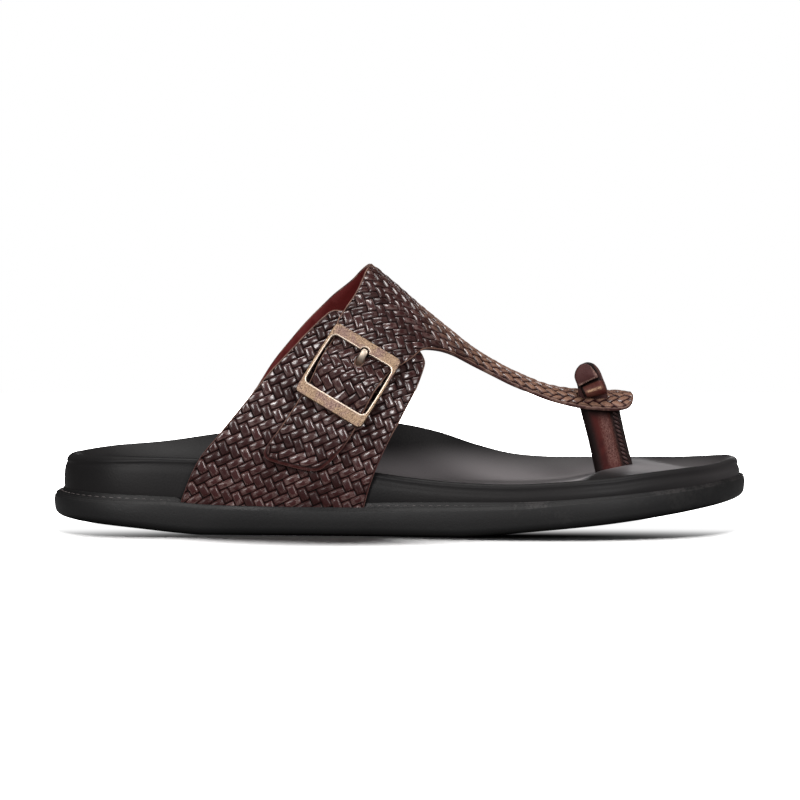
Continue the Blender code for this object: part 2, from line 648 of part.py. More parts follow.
def resting_in(points, flat, faces, at):
    """The (x, t) of flat points, from the triangles of the flat sheet in which they lie."""
    found = np.full((len(points), 2), np.nan)
    for f in faces:
        a, b, c = (flat[i] for i in f)
        ab, ac = b - a, c - a
        area = ab[0] * ac[1] - ab[1] * ac[0]
        offset = points - a
        u = (offset[:, 0] * ac[1] - offset[:, 1] * ac[0]) / area
        v = (ab[0] * offset[:, 1] - ab[1] * offset[:, 0]) / area
        hit = (u >= -1e-6) & (v >= -1e-6) & (u + v <= 1 + 1e-6)
        found[hit] = (at[f[0]] + u[:, None] * (at[f[1]] - at[f[0]]) + v[:, None] * (at[f[2]] - at[f[0]]))[hit]
    return found


def woven_sheet(name, loops, depth, bulging, group, look):
    """A woven leather piece: a sheet bounded by loops of (x, t), its outer face raised strip by strip."""
    scaled_loops = [np.array(loop) * SHEET_STRETCH for loop in loops]
    spread = grid(scaled_loops[0], SHEET_SPACING, SHEET_SPACING * 0.87)
    if bulging:
        spread = spread[tab_bulge(last_point(*(spread / SHEET_STRETCH).T)) < 0.1]
        spread = np.vstack([spread, np.array(bulge_points()) * SHEET_STRETCH])
    domain, coarse, _ = fill(scaled_loops, spread, SHEET_SPACING * 0.3)
    at = domain / SHEET_STRETCH
    inner = sheet_point(at, depth + LEATHER, bulging)
    outer = sheet_point(at, depth + RELIEF * 0.6, bulging)
    flat = flattened(outer, coarse)
    weight = np.where(at[:, 1] < -35, 1.0, 1e-4) * np.exp(-(((at[:, 0] + 25) / 30) ** 2))
    flat = turned_flat(flat, outer, weight)
    rim = sum(len(loop) for loop in loops)
    flat_rims, start = [], 0
    for loop in loops:
        flat_rims.append(flat[start : start + len(loop)])
        start += len(loop)
    lattice, heights = weave_points(flat_rims[0])
    points, fine, kept = fill(flat_rims, lattice, STRIP * 0.32)
    fine_at = np.vstack([at[:rim], resting_in(points[rim:], flat, coarse, at)])
    fine_depth = depth + RELIEF * (1 - np.concatenate([np.full(rim, 0.4), heights[kept]]))
    top = sheet_point(fine_at, fine_depth, bulging)
    faces = [tuple(f) for f in fine] + [tuple(i + len(top) for i in reversed(f)) for f in coarse]
    start = 0
    for loop in loops:
        for i in range(len(loop)):
            a, b = start + i, start + (i + 1) % len(loop)
            faces.append((a, b, b + len(top), a + len(top)))
        start += len(loop)
    return mesh_object(name, np.vstack([top, inner]), faces, group, look, sharp=50)


def joined_edges(*parts):
    """One closed loop from edges that meet in corners."""
    loop = []
    for part in parts:
        scaled = np.array(part) * SHEET_STRETCH
        line = through(scaled, EDGE_SPACING) if len(part) > 2 else along(scaled, EDGE_SPACING)
        loop += list(line[:-1] / SHEET_STRETCH)
    return loop


def make_quarter(group, look):
    deep = QUARTER_DEPTH
    back, top, front = (
        [from_side("lateral", x, z, deep, seen=True) for x, z in rows]
        for rows in (QUARTER_BACK, QUARTER_TOP, QUARTER_FRONT)
    )
    base = [(x, -90.0) for x in np.linspace(QUARTER_FRONT[-1][0], QUARTER_BACK[0][0], 4)]
    loop = joined_edges(back + top + front, base)
    return woven_sheet("lateral_quarter", [loop], deep, False, group, look)


def oval(cx, cy, length, width, count, power=1.0):
    """Points round an oval slot. A power under 1 makes it fuller at its corners."""
    turns = np.linspace(0, 2 * math.pi, count, endpoint=False)
    c, s = (np.sign(f) * np.abs(f) ** power for f in (np.cos(turns), np.sin(turns)))
    return [(cx + length / 2 * u, cy + width / 2 * v) for u, v in zip(c, s)]


def make_main(group, look):
    half = TAB_HALF_WIDTH
    back, left, end, right, notch, lateral, tip, medial, front = (
        [edge_point(row) for row in rows]
        for rows in (
            MAIN_BACK, TAB_LEFT, TAB_END, TAB_RIGHT, MAIN_NOTCH, TSTRAP_LATERAL, TSTRAP_TIP, TSTRAP_MEDIAL,
            MEDIAL_FRONT,
        )
    )  # fmt: skip
    tab_left = [buckle_point(-half, WINDOW_TOP - 0.6), buckle_point(TAB_LOW_WIDTHS[0], WINDOW_LOW), *left]
    tab_right = [*right, buckle_point(TAB_LOW_WIDTHS[1], WINDOW_LOW), buckle_point(half, WINDOW_TOP - 0.6)]
    base = [(x, 90.0) for x in np.linspace(MEDIAL_FRONT[-1][1], MAIN_BACK[0][1], 4)]
    loop = joined_edges(
        back,
        [back[-1], tab_left[0]],
        tab_left + end + tab_right,
        [tab_right[-1], notch[0]],
        notch + lateral[:1],
        lateral + tip + medial + front,
        base,
    )
    x, y, length, width = SLIT
    slit = [from_above(*p) for p in oval(x, y, length, width, 16, 0.6)]
    hole = [buckle_point(*p) for p in oval(PRONG_SHIFT, HOLE_HEIGHT, *PRONG_HOLE, 8)]
    return woven_sheet("upper_main", [loop, slit, hole], 0.0, True, group, look)


def place_in_buckle(item):
    """Puts an object made in the buckle's own axes (across, up, out) on the strap."""
    centre, right, up, out = AXES
    turn = Matrix((right, up, out)).transposed().to_4x4()
    item.matrix_world = Matrix.Translation(centre * MM) @ turn


def flat_outline(name, loops, low, high, group):
    """A plate with holes, from outlines filled as a curve."""
    shape = bpy.data.curves.new(name, "CURVE")
    shape.dimensions = "2D"
    shape.fill_mode = "BOTH"
    shape.extrude = (high - low) / 2 * MM
    for loop in loops:
        line = shape.splines.new("POLY")
        line.points.add(len(loop) - 1)
        for point, (x, y) in zip(line.points, loop):
            point.co = (x * MM, y * MM, 0, 1)
        line.use_cyclic_u = True
    item = bpy.data.objects.new(name, shape)
    group.objects.link(item)
    bpy.context.view_layer.update()
    mesh = bpy.data.meshes.new_from_object(item.evaluated_get(bpy.context.evaluated_depsgraph_get()))
    bpy.data.objects.remove(item)
    work = bmesh.new()
    work.from_mesh(mesh)
    bmesh.ops.remove_doubles(work, verts=work.verts, dist=1e-3 * MM)
    bmesh.ops.translate(work, verts=work.verts, vec=(0, 0, (high + low) / 2 * MM))
    work.to_mesh(mesh)
    work.free()
    made = bpy.data.objects.new(name, mesh)
    group.objects.link(made)
    return made


def rounded_box(width, length, radius, steps=3):
    """Corner-rounded rectangle, counterclockwise."""
    points = []
    for k, (sx, sy) in enumerate(((1, 1), (-1, 1), (-1, -1), (1, -1))):
        for i in range(steps + 1):
            a = math.radians(90 * k + 90 * i / steps)
            x, y = sx * (width / 2 - radius), sy * (length / 2 - radius)
            points.append((x + radius * math.cos(a), y + radius * math.sin(a)))
    return points


def box(name, low, high, group):
    mesh = bpy.data.meshes.new(name)
    work = bmesh.new()
    bmesh.ops.create_cube(work, size=1)
    for v in work.verts:
        v.co = [(a + (b - a) * (c + 0.5)) * MM for a, b, c in zip(low, high, v.co)]
    work.to_mesh(mesh)
    work.free()
    made = bpy.data.objects.new(name, mesh)
    group.objects.link(made)
    return made


def combine(item, other, operation):
    change = item.modifiers.new(operation.lower(), "BOOLEAN")
    change.operation = operation
    change.solver = "EXACT"
    change.object = other
    other.hide_render = True
    other.display_type = "WIRE"


def make_buckle(group, cutters, look):
    inner = FRAME_WIDTH / 2 - RAIL
    corner = WINDOW_CORNER
    window = [(-inner, WINDOW_LOW + corner), (-inner + corner, WINDOW_LOW)]
    window += [(inner - corner, WINDOW_LOW), (inner, WINDOW_LOW + corner)]
    window += [(inner, WINDOW_TOP - corner), (inner - corner, WINDOW_TOP)]
    for k in range(7):
        turn = math.radians(180 * k / 6)
        window.append((PRONG_SHIFT + NOTCH * math.cos(turn), WINDOW_TOP + 0.9 * NOTCH * math.sin(turn)))
    window += [(-inner + corner, WINDOW_TOP), (-inner, WINDOW_TOP - corner)]
    low, high = FRAME_LIFT, FRAME_LIFT + FRAME_THICKNESS
    outline = rounded_box(FRAME_WIDTH, FRAME_LENGTH, FRAME_CORNER)
    frame = flat_outline("buckle_frame", [outline, window], low, high, group)
    edges = frame.modifiers.new("edges", "BEVEL")
    edges.width = FRAME_BEVEL * MM
    edges.segments = 1
    edges.limit_method = "ANGLE"
    edges.angle_limit = math.radians(50)
    cheek = RAIL * 0.42  # half the width of the cheek that carries the centre bar under each rail
    for name, x in (("cheek_heel", -inner - RAIL / 2), ("cheek_toe", inner + RAIL / 2)):
        rail = box(
            name,
            (x - cheek, WINDOW_LOW + 1.0, BAR_HEIGHT - BAR_RADIUS * 0.6),
            (x + cheek, WINDOW_TOP - 1.0, low + 0.8),
            cutters,
        )
        place_in_buckle(rail)
        combine(frame, rail, "UNION")
    mesh = bpy.data.meshes.new("centre_bar")
    work = bmesh.new()
    bmesh.ops.create_cone(
        work, cap_ends=True, segments=12, radius1=BAR_RADIUS * MM, radius2=BAR_RADIUS * MM,
        depth=(2 * inner + RAIL) * MM, matrix=Matrix.Rotation(math.radians(90), 4, "Y"),
    )  # fmt: skip
    bmesh.ops.translate(work, verts=work.verts, vec=(0, 0, BAR_HEIGHT * MM))
    work.to_mesh(mesh)
    work.free()
    bar = bpy.data.objects.new("centre_bar", mesh)
    cutters.objects.link(bar)
    place_in_buckle(bar)
    combine(frame, bar, "UNION")
    frame.data.materials.append(look)
    place_in_buckle(frame)
    return frame


def make_prong(group, look):
    """The prong: a hook over the centre bar, under the tab, up through its hole and into the notch."""
    hook = BAR_RADIUS + PRONG_PLAY + PRONG_THICKNESS / 2
    turns = np.radians(np.linspace(*PRONG_HOOK, 6))
    path = [(hook * math.cos(a), BAR_HEIGHT + hook * math.sin(a)) for a in turns]
    path = np.array(path + list(zip(PRONG_PATH["along"], PRONG_PATH["out"])))
    ahead = np.gradient(path, axis=0)
    ahead /= np.linalg.norm(ahead, axis=1)[:, None]
    side = np.column_stack([-ahead[:, 1], ahead[:, 0]])
    half, thick = PRONG_WIDTH / 2, PRONG_THICKNESS / 2
    corners = ((-1, -1), (1, -1), (1, 0.4), (0.6, 1), (-0.6, 1), (-1, 0.4))
    verts = [
        (PRONG_SHIFT + w * half, *(p + s * h * thick)) for p, s in zip(path, side) for w, h in corners
    ]
    count = len(corners)
    faces = [tuple(range(count)), tuple(range(len(verts) - count, len(verts)))]
    for k in range(len(path) - 1):
        faces += band(k * count, ((k + 1) * count, count))
    prong = mesh_object("buckle_prong", verts, faces, group, look)
    place_in_buckle(prong)
    return prong


def strap_under(x, y):
    """Height of the T-strap's inner face over (x, y)."""
    at = from_above(x, y)
    return float((last_point(*at) - LEATHER * last_normal(*at))[2])


def post_section(grow=0.0):
    """The post's section: a flattened tube with a stitched flange at its front."""
    half = [(x * POST_LENGTH, y * POST_WIDTH) for x, y in zip(POST_SECTION["along"], POST_SECTION["across"])]
    ring = half + [(x, -y) for x, y in reversed(half[1:])]
    return [(x + math.copysign(grow, x), y + (math.copysign(grow, y) if y else 0.0)) for x, y in ring]


def post_solid(name, low_z, grow, group, look=None):
    """The post from this height up to the strap, or past it for a cutter."""
    rings = []
    for share in (0.0, 0.5, 1.0):
        ring = []
        for dx, dy in post_section(grow):
            x = POST_FOOT[0] + (POST_HEAD[0] - POST_FOOT[0]) * share + dx
            y = POST_FOOT[1] + dy
            top = POCKET_TOP if grow else strap_under(x, y) - 2 * GAP
            ring.append((x if not grow else POST_FOOT[0] + dx, y, low_z + (top - low_z) * share))
        rings.append(ring)
    verts = [p for ring in rings for p in ring]
    count = len(rings[0])
    faces = [tuple(range(count)), tuple(range(2 * count, 3 * count))]
    for k in range(2):
        faces += band(k * count, ((k + 1) * count, count))
    return mesh_object(name, verts, faces, group, look, sharp=50)


def knot_axes():
    """Where the strip leaves the strap, the way along the roll and the way up the knot."""
    lean = math.radians(KNOT_LEAN)
    start = Vector((*KNOT_FOOT, strap_under(*KNOT_FOOT) + LEATHER))
    return start, Vector((math.cos(lean), 0, math.sin(lean))), Vector((-math.sin(lean), 0, math.cos(lean)))


def make_strip(group):
    """The strip that comes up through the slit and folds over the roll, as an open sheet made thick."""
    start, ahead, up = knot_axes()
    shares = np.linspace(0, 1, 5)
    verts = []
    for out, rise, heel, toe in zip(*(STRIP_PATH[name] for name in ("out", "up", "heel", "toe"))):
        middle = start + up * rise + Vector((0, -out, 0))
        verts += [middle + ahead * (toe * s - heel * (1 - s)) for s in shares]
    row = len(shares)
    faces = [
        (k * row + i, k * row + i + 1, (k + 1) * row + i + 1, (k + 1) * row + i)
        for k in range(len(verts) // row - 1)
        for i in range(row - 1)
    ]
    strip = mesh_object("knot_strip", verts, faces, group)
    wall = strip.modifiers.new("wall", "SOLIDIFY")
    wall.thickness = STRIP_WALL * MM
    wall.offset = 0
    return strip


def make_post(group, cutters, look):
    post = post_solid("toe_post", bed_floor(*POST_FOOT) - POST_SINK + GAP, 0.0, group, look)
    combine(post, make_strip(cutters), "UNION")
    return post


def make_roll(group, look):
    """The rolled keeper between the strip and the strap."""
    start, ahead, up = knot_axes()
    out = STRIP_WALL / 2 + GAP + ROLL_RADIUS
    mesh = bpy.data.meshes.new("loop_roll")
    work = bmesh.new()
    bmesh.ops.create_cone(
        work, cap_ends=True, segments=20, radius1=ROLL_RADIUS * MM, radius2=ROLL_RADIUS * MM,
        depth=ROLL_LENGTH * MM,
    )  # fmt: skip
    work.to_mesh(mesh)
    work.free()
    mesh.materials.append(look)
    mesh.shade_smooth()
    mesh.set_sharp_from_angle(angle=math.radians(40))
    roll = bpy.data.objects.new("loop_roll", mesh)
    group.objects.link(roll)
    corner = start - ahead * (ROLL_LENGTH / 2) - Vector((0, out, 0))
    rest = strap_under(corner.x, corner.y) + LEATHER - corner.z
    centre = start - Vector((0, out, 0)) + up * ((rest + ROLL_RADIUS) / up.z)
    turn = Matrix((up, ahead.cross(up), ahead)).transposed().to_4x4()
    roll.matrix_world = Matrix.Translation(centre * MM) @ turn
    return roll


def rim_channel(side, heel_x, toe_x, cutters):
    """The cutter that takes the rim away inside its outer lip, where the upper goes in."""
    line = RING[: SIDE_STEPS + 1] if side == "lateral" else np.vstack([RING[SIDE_STEPS:], RING[:1]])[::-1]
    fine = along(line, spacing=0.5)
    fine = fine[(fine[:, 0] >= heel_x) & (fine[:, 0] <= toe_x)]
    fine = fine[np.linspace(0, len(fine) - 1, CHANNEL_POINTS).astype(int)]
    ahead = np.gradient(fine, axis=0)
    ahead /= np.linalg.norm(ahead, axis=1)[:, None]
    inward = np.column_stack([-ahead[:, 1], ahead[:, 0]]) * (1 if side == "lateral" else -1)
    floor = smooth(SOLE, "rim_outer", fine[:, 0]) - CHANNEL_DEPTH
    verts = []
    for point, way, z in zip(fine, inward, floor):
        lip, far = point + way * (UPPER_INSET - GAP), point + way * CHANNEL_REACH
        verts += [(*lip, z), (*far, z), (*far, z + CHANNEL_TOP), (*lip, z + CHANNEL_TOP)]
    faces = [(0, 1, 2, 3), tuple(range(len(verts) - 4, len(verts)))]
    for k in range(len(fine) - 1):
        faces += band(4 * k, (4 * (k + 1), 4))
    return mesh_object(f"channel_{side}", verts, faces, cutters)


def main():
    clear_scene()
    group, cutters = collection("leather_sandal"), collection("cutters")
    outsole = make_outsole(group, material("outsole_rubber", (0.018, 0.018, 0.019), 0.5))
    for side, heel_x, toe_x in CHANNELS:
        combine(outsole, rim_channel(side, heel_x, toe_x, cutters), "DIFFERENCE")
    footbed = make_footbed(group, material("footbed_leather", (0.022, 0.021, 0.022), 0.45))
    pocket = post_solid("post_pocket", bed_floor(*POST_FOOT) - POST_SINK, GAP, cutters)
    combine(footbed, pocket, "DIFFERENCE")
    make_quarter(group, material("quarter_leather", (0.075, 0.028, 0.024), 0.42))
    make_main(group, material("main_leather", (0.075, 0.028, 0.024), 0.42))
    make_buckle(group, cutters, material("frame_brass", (0.42, 0.28, 0.16), 0.35, 1.0))
    make_prong(group, material("prong_brass", (0.42, 0.28, 0.16), 0.35, 1.0))
    make_post(group, cutters, material("post_leather", (0.10, 0.022, 0.016), 0.38))
    make_roll(group, material("roll_leather", (0.10, 0.022, 0.016), 0.38))


main()
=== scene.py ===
# Looks for a right leather thong sandal: woven burnished upper, brass buckle, black footbed and rimmed sole.
# Millimetres are used throughout, and toMetres turns them into Blender's metres when a mesh is made.
# Toe to +X, up is +Z, and the lateral side with the buckle faces the camera along -Y.
import math

import bmesh
import bpy
import numpy as np
from mathutils import Matrix, Vector
from mathutils.geometry import delaunay_2d_cdt
from mathutils.kdtree import KDTree


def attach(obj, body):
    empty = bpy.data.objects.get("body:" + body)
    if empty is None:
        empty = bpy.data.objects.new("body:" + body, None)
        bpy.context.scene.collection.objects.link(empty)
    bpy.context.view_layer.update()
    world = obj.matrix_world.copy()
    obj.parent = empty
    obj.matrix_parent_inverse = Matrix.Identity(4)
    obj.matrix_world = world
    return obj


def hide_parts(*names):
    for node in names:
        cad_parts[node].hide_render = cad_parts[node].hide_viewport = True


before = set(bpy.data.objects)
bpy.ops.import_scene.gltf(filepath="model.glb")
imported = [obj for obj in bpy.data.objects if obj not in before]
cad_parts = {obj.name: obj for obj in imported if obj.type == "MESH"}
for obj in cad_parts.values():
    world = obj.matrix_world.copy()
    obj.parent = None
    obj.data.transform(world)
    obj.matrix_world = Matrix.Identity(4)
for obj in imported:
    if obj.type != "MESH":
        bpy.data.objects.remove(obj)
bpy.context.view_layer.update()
toMetres = 0.001
print("frame loaded:", sorted(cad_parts))


# curves and tables


def table(names, *rows):
    return dict(zip(names.split(), np.array(rows, dtype=float).T))


def smooth(rows, column, x):
    # a column of a table as a smooth curve over its x, held at both ends
    xs, ys = rows["x"], rows[column]
    x = np.clip(np.asarray(x, dtype=float), xs[0], xs[-1])
    slopes = np.gradient(ys, xs)
    k = np.clip(np.searchsorted(xs, x) - 1, 0, len(xs) - 2)
    step = xs[k + 1] - xs[k]
    t = (x - xs[k]) / step
    low = (1 + 2 * t) * (1 - t) ** 2 * ys[k] + t * (1 - t) ** 2 * step * slopes[k]
    high = t * t * (3 - 2 * t) * ys[k + 1] + t * t * (t - 1) * step * slopes[k + 1]
    return low + high


def ease(t):
    t = np.clip(t, 0.0, 1.0)
    return t * t * (3 - 2 * t)


def rise(value, start, full):
    # 0 up to start and 1 from full on, softly between, in whichever order the two lie
    return ease((value - start) / (full - start))


def along(line, spacing=None, steps=None):
    # the same line with even steps
    length = np.concatenate([[0], np.cumsum(np.linalg.norm(np.diff(line, axis=0), axis=1))])
    steps = steps or max(1, round(length[-1] / spacing))
    at = np.linspace(0, length[-1], steps + 1)
    return np.column_stack([np.interp(at, length, line[:, k]) for k in range(line.shape[1])])


def through(points, spacing, closed=False):
    # points along a smooth curve through these, about this far apart
    points = np.array(points, dtype=float)
    count = len(points)
    dense = []
    for k in range(count if closed else count - 1):
        around = [(k + j) % count if closed else min(max(k + j, 0), count - 1) for j in (-1, 0, 1, 2)]
        a, b, c, d = points[around]
        bend, twist = 2 * a - 5 * b + 4 * c - d, 3 * b - a - 3 * c + d
        for t in np.arange(0, 1, 0.05):
            dense.append(b + 0.5 * ((c - a) * t + bend * t**2 + twist * t**3))
    dense.append(points[0] if closed else points[-1])
    return along(np.array(dense), spacing=spacing)


def unit(vectors):
    return vectors / np.maximum(np.linalg.norm(vectors, axis=-1, keepdims=True), 1e-9)


# meshes


def makeMesh(name, verts, faces, materials, faceSlots=None, attributes=None):
    mesh = bpy.data.meshes.new(name)
    places = (np.asarray(verts, dtype=float) * toMetres).tolist()
    mesh.from_pydata(places, [], [list(map(int, f)) for f in faces])
    for look in materials:
        mesh.materials.append(look)
    if faceSlots is not None:
        mesh.polygons.foreach_set("material_index", np.asarray(faceSlots, dtype=np.int32))
    for key, values in (attributes or {}).items():
        values = np.asarray(values, dtype=np.float32)
        kind, field = ("FLOAT", "value") if values.ndim == 1 else ("FLOAT_VECTOR", "vector")
        mesh.attributes.new(key, kind, "POINT").data.foreach_set(field, values.ravel())
    mesh.validate()
    item = bpy.data.objects.new(name, mesh)
    bpy.context.scene.collection.objects.link(item)
    return item


def mergeAndTurnOut(item, distance=0.0005, sharpDegrees=None):
    # joins points that meet, turns the faces outward, and keeps only the sharper edges sharp
    work = bmesh.new()
    work.from_mesh(item.data)
    bmesh.ops.remove_doubles(work, verts=work.verts, dist=distance * toMetres)
    bmesh.ops.recalc_face_normals(work, faces=work.faces)
    work.to_mesh(item.data)
    work.free()
    item.data.shade_smooth()
    if sharpDegrees:
        item.data.set_sharp_from_angle(angle=math.radians(sharpDegrees))
    return item


def ringFaces(first, second, count):
    return [(first + i, first + (i + 1) % count, second + (i + 1) % count, second + i) for i in range(count)]


def tubeFaces(rings, count, first=0):
    # the sides and both ends of a tube made of this many rings
    starts = [first + k * count for k in range(rings)]
    sides = [face for a, b in zip(starts, starts[1:]) for face in ringFaces(a, b, count)]
    return sides + [tuple(range(k, k + count)) for k in (starts[0], starts[-1])]


def circle(steps):
    return np.linspace(0, 2 * math.pi, steps, endpoint=False)


def settle(item, slotName, *nodes):
    # the piece rides on the sandal and stands for these solids
    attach(item, "root")
    if nodes:
        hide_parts(*nodes)
    return item


# shader nodes


def plug(tree, node, inputs):
    # a socket is linked, and anything else becomes the input's own value
    for key, value in (inputs or {}).items():
        if isinstance(value, bpy.types.NodeSocket):
            tree.links.new(value, node.inputs[key])
        else:
            node.inputs[key].default_value = value
    return node


def addNode(tree, kind, inputs=None, **settings):
    node = tree.nodes.new("ShaderNode" + kind)
    for key, value in settings.items():
        setattr(node, key, value)
    return plug(tree, node, inputs)


def blendColors(tree, factor, first, second, mode="MIX"):
    first, second = ((*c, 1) if isinstance(c, tuple) else c for c in (first, second))
    inputs = {0: factor, 6: first, 7: second}
    return addNode(tree, "Mix", inputs, data_type="RGBA", blend_type=mode).outputs[2]


def reckon(tree, operation, first, second=0.0, clamp=False):
    return addNode(tree, "Math", {0: first, 1: second}, operation=operation, use_clamp=clamp).outputs[0]


def product(tree, first, *others):
    for other in others:
        first = reckon(tree, "MULTIPLY", first, other)
    return first


def remap(tree, value, low, high, toLow=0.0, toHigh=1.0, kind="SMOOTHSTEP"):
    inputs = {0: value, 1: low, 2: high, 3: toLow, 4: toHigh}
    return addNode(tree, "MapRange", inputs, interpolation_type=kind).outputs[0]


def stretched(tree, vector, scale):
    return addNode(tree, "Mapping", {"Vector": vector, "Scale": scale}).outputs[0]


def awayFrom(tree, at, centre, sizes):
    # distance from a place, counted in these half sizes
    offset = addNode(tree, "VectorMath", {0: at, 1: centre}, operation="SUBTRACT").outputs["Vector"]
    scaled = stretched(tree, offset, tuple(1 / size for size in sizes))
    return addNode(tree, "VectorMath", {0: scaled}, operation="LENGTH").outputs["Value"]


def noise(tree, vector, scale, detail=2.0, roughness=0.5, distortion=0.0):
    return addNode(tree, "TexNoise", {
        "Vector": vector, "Scale": scale, "Detail": detail, "Roughness": roughness, "Distortion": distortion,
    }).outputs["Fac"]


def shaderGroup(name, inputs, outputs):
    # an empty group with float outputs, the outputs of its input node, and its output node
    group = bpy.data.node_groups.new(name, "ShaderNodeTree")
    for label, value in inputs.items():
        kind = "NodeSocketVector" if value is None else "NodeSocketFloat"
        socket = group.interface.new_socket(label, in_out="INPUT", socket_type=kind)
        if value is not None:
            socket.default_value = value
    for label in outputs:
        group.interface.new_socket(label, in_out="OUTPUT", socket_type="NodeSocketFloat")
    return group, group.nodes.new("NodeGroupInput").outputs, group.nodes.new("NodeGroupOutput")


def useGroup(tree, group, inputs):
    return plug(tree, addNode(tree, "Group", node_tree=group), inputs).outputs


def newLook(name):
    # a material, its tree, its shader and the sandal's own coordinates in metres
    look = bpy.data.materials.new(name)
    look.use_nodes = True
    tree = look.node_tree
    return look, tree, tree.nodes["Principled BSDF"], addNode(tree, "TexCoord").outputs["Object"]


def attribute(tree, name, output="Fac"):
    return addNode(tree, "Attribute", attribute_name=name).outputs[output]


def bumped(tree, shader, height, distance, strength, below=None):
    inputs = {"Height": height, "Distance": distance, "Strength": strength}
    if below:
        inputs["Normal"] = below
    normal = addNode(tree, "Bump", inputs).outputs[0]
    plug(tree, shader, {"Normal": normal})
    return normal


# camera, light and floor

view = {
    "distance": 1600.0, "downDegrees": 5.0, "pixelMm": 0.406, "pixels": 800, "aimPixel": (400.5, 527.4),
    "sensor": 36.0,
}


def makeCamera():
    down, pixels = math.radians(view["downDegrees"]), view["pixels"]
    data = bpy.data.cameras.new("camera")
    data.sensor_width = view["sensor"]
    data.lens = view["sensor"] * view["distance"] / (pixels * view["pixelMm"])
    data.shift_x = (pixels / 2 - view["aimPixel"][0]) / pixels
    data.shift_y = (view["aimPixel"][1] - pixels / 2) / pixels
    data.clip_start, data.clip_end = 0.05, 50
    item = bpy.data.objects.new("camera", data)
    item.location = Vector((0, -math.cos(down), math.sin(down))) * view["distance"] * toMetres
    item.rotation_euler = (math.pi / 2 - down, 0, 0)
    bpy.context.scene.collection.objects.link(item)
    bpy.context.scene.camera = item


studio = {
    # the paper is white to the camera and duller to the sandal
    "floorRadius": 1.05, "floorSeen": 0.92, "floorLit": 0.14, "ambient": 0.05,
    # centre and half sizes of the floor's patch with the shadow, and where the painted glow that whitens the
    # floor round it begins and is full
    "patch": ((0.0, -0.052), (0.196, 0.042)), "white": (0.45, 1.30),
    # place, aim, width, height (metres), power in watts and colour of each soft light
    "lights": (
        ("overhead", (0.0, -0.06, 1.28), (0.0, 0.0, 0.04), 1.1, 0.36, 15.0, (1.0, 0.985, 0.97)),
        ("leftBox", (-0.82, -1.30, 0.62), (0.0, 0.0, 0.05), 0.62, 0.86, 21.0, (1.0, 0.985, 0.975)),
        ("rightBox", (0.82, -1.30, 0.62), (0.0, 0.0, 0.05), 0.62, 0.86, 21.0, (1.0, 0.985, 0.985)),
        ("backPaper", (0.30, 1.60, 0.26), (0.05, 0.0, 0.02), 0.7, 0.22, 1.4, (1.0, 0.99, 1.0)),
        ("floorLight", (0.0, 0.75, 0.90), (0.0, -0.05, 0.0), 0.70, 0.95, 50.0, (1.0, 0.99, 0.985)),
    ),
}


def makeFloor():
    mesh = bpy.data.meshes.new("studioFloor")
    radius, turns = studio["floorRadius"], circle(96)
    rim = [(radius * math.cos(a), radius * math.sin(a), 0) for a in turns]
    mesh.from_pydata(rim, [], [tuple(range(len(rim)))])
    look, tree, shader, at = newLook("studioPaper")
    seen = addNode(tree, "LightPath").outputs["Is Camera Ray"]
    (x, y), (long, wide) = studio["patch"]
    # outside the patch the floor glows for the camera alone: a painted glow that covers the real shadow there
    paintedFloorGlow = product(tree, remap(tree, awayFrom(tree, at, (x, y, 0), (long, wide, 1)), *studio["white"]), seen)
    plug(tree, shader, {
        "Base Color": blendColors(tree, seen, (studio["floorLit"],) * 3, (studio["floorSeen"],) * 3),
        "Emission Color": (1, 1, 1, 1), "Emission Strength": paintedFloorGlow, "Roughness": 0.95,
        "Specular IOR Level": 0.05,
    })
    mesh.materials.append(look)
    floor = bpy.data.objects.new("studioFloor", mesh)
    bpy.context.scene.collection.objects.link(floor)
    return floor


def makeAir():
    # white behind the sandal, and little light from all round
    world = bpy.data.worlds.new("studioAir")
    world.use_nodes = True
    bpy.context.scene.world = world
    tree = world.node_tree
    tree.nodes.clear()
    air, white = (
        addNode(tree, "Background", {"Color": (1, 1, 1, 1), "Strength": strength}).outputs[0]
        for strength in (studio["ambient"], 1.0)
    )
    seen = addNode(tree, "LightPath").outputs["Is Camera Ray"]
    mix = addNode(tree, "MixShader", {0: seen, 1: air, 2: white})
    addNode(tree, "OutputWorld", {"Surface": mix.outputs[0]})


def makeLights(floor):
    # one light is for the floor alone, and the floor takes no other
    floorOnly, notFloor = bpy.data.collections.new("floorOnly"), bpy.data.collections.new("notFloor")
    floorOnly.objects.link(floor)
    notFloor.objects.link(floor)
    notFloor.collection_objects[0].light_linking.link_state = "EXCLUDE"
    for name, place, aim, width, height, watts, tone in studio["lights"]:
        data = bpy.data.lights.new(name, "AREA")
        data.shape = "RECTANGLE"
        data.size, data.size_y, data.energy, data.color = width, height, watts, tone
        item = bpy.data.objects.new(name, data)
        item.location = place
        item.rotation_euler = (Vector(aim) - Vector(place)).to_track_quat("-Z", "Y").to_euler()
        bpy.context.scene.collection.objects.link(item)
        item.light_linking.receiver_collection = floorOnly if name == "floorLight" else notFloor


makeCamera()
makeAir()
makeLights(makeFloor())
bpy.context.scene.view_settings.view_transform = "Standard"
print("camera, lights and floor placed")


# plan of the sole, once round from the back of the heel along the lateral side

soleOutline = table(
    "x y",
    (-140, -1), (-134.5, -19), (-117, -32.5), (-88, -38), (-45, -39.5), (-8, -44), (28, -51.5), (58, -54),
    (88, -48.5), (115, -34.5), (133, -13), (140, 7), (136.5, 25), (120, 41), (92, 51.5), (62, 54),
    (28, 47.5), (-8, 38.5), (-48, 35.5), (-88, 36.5), (-117, 32), (-134.5, 17.5),
)
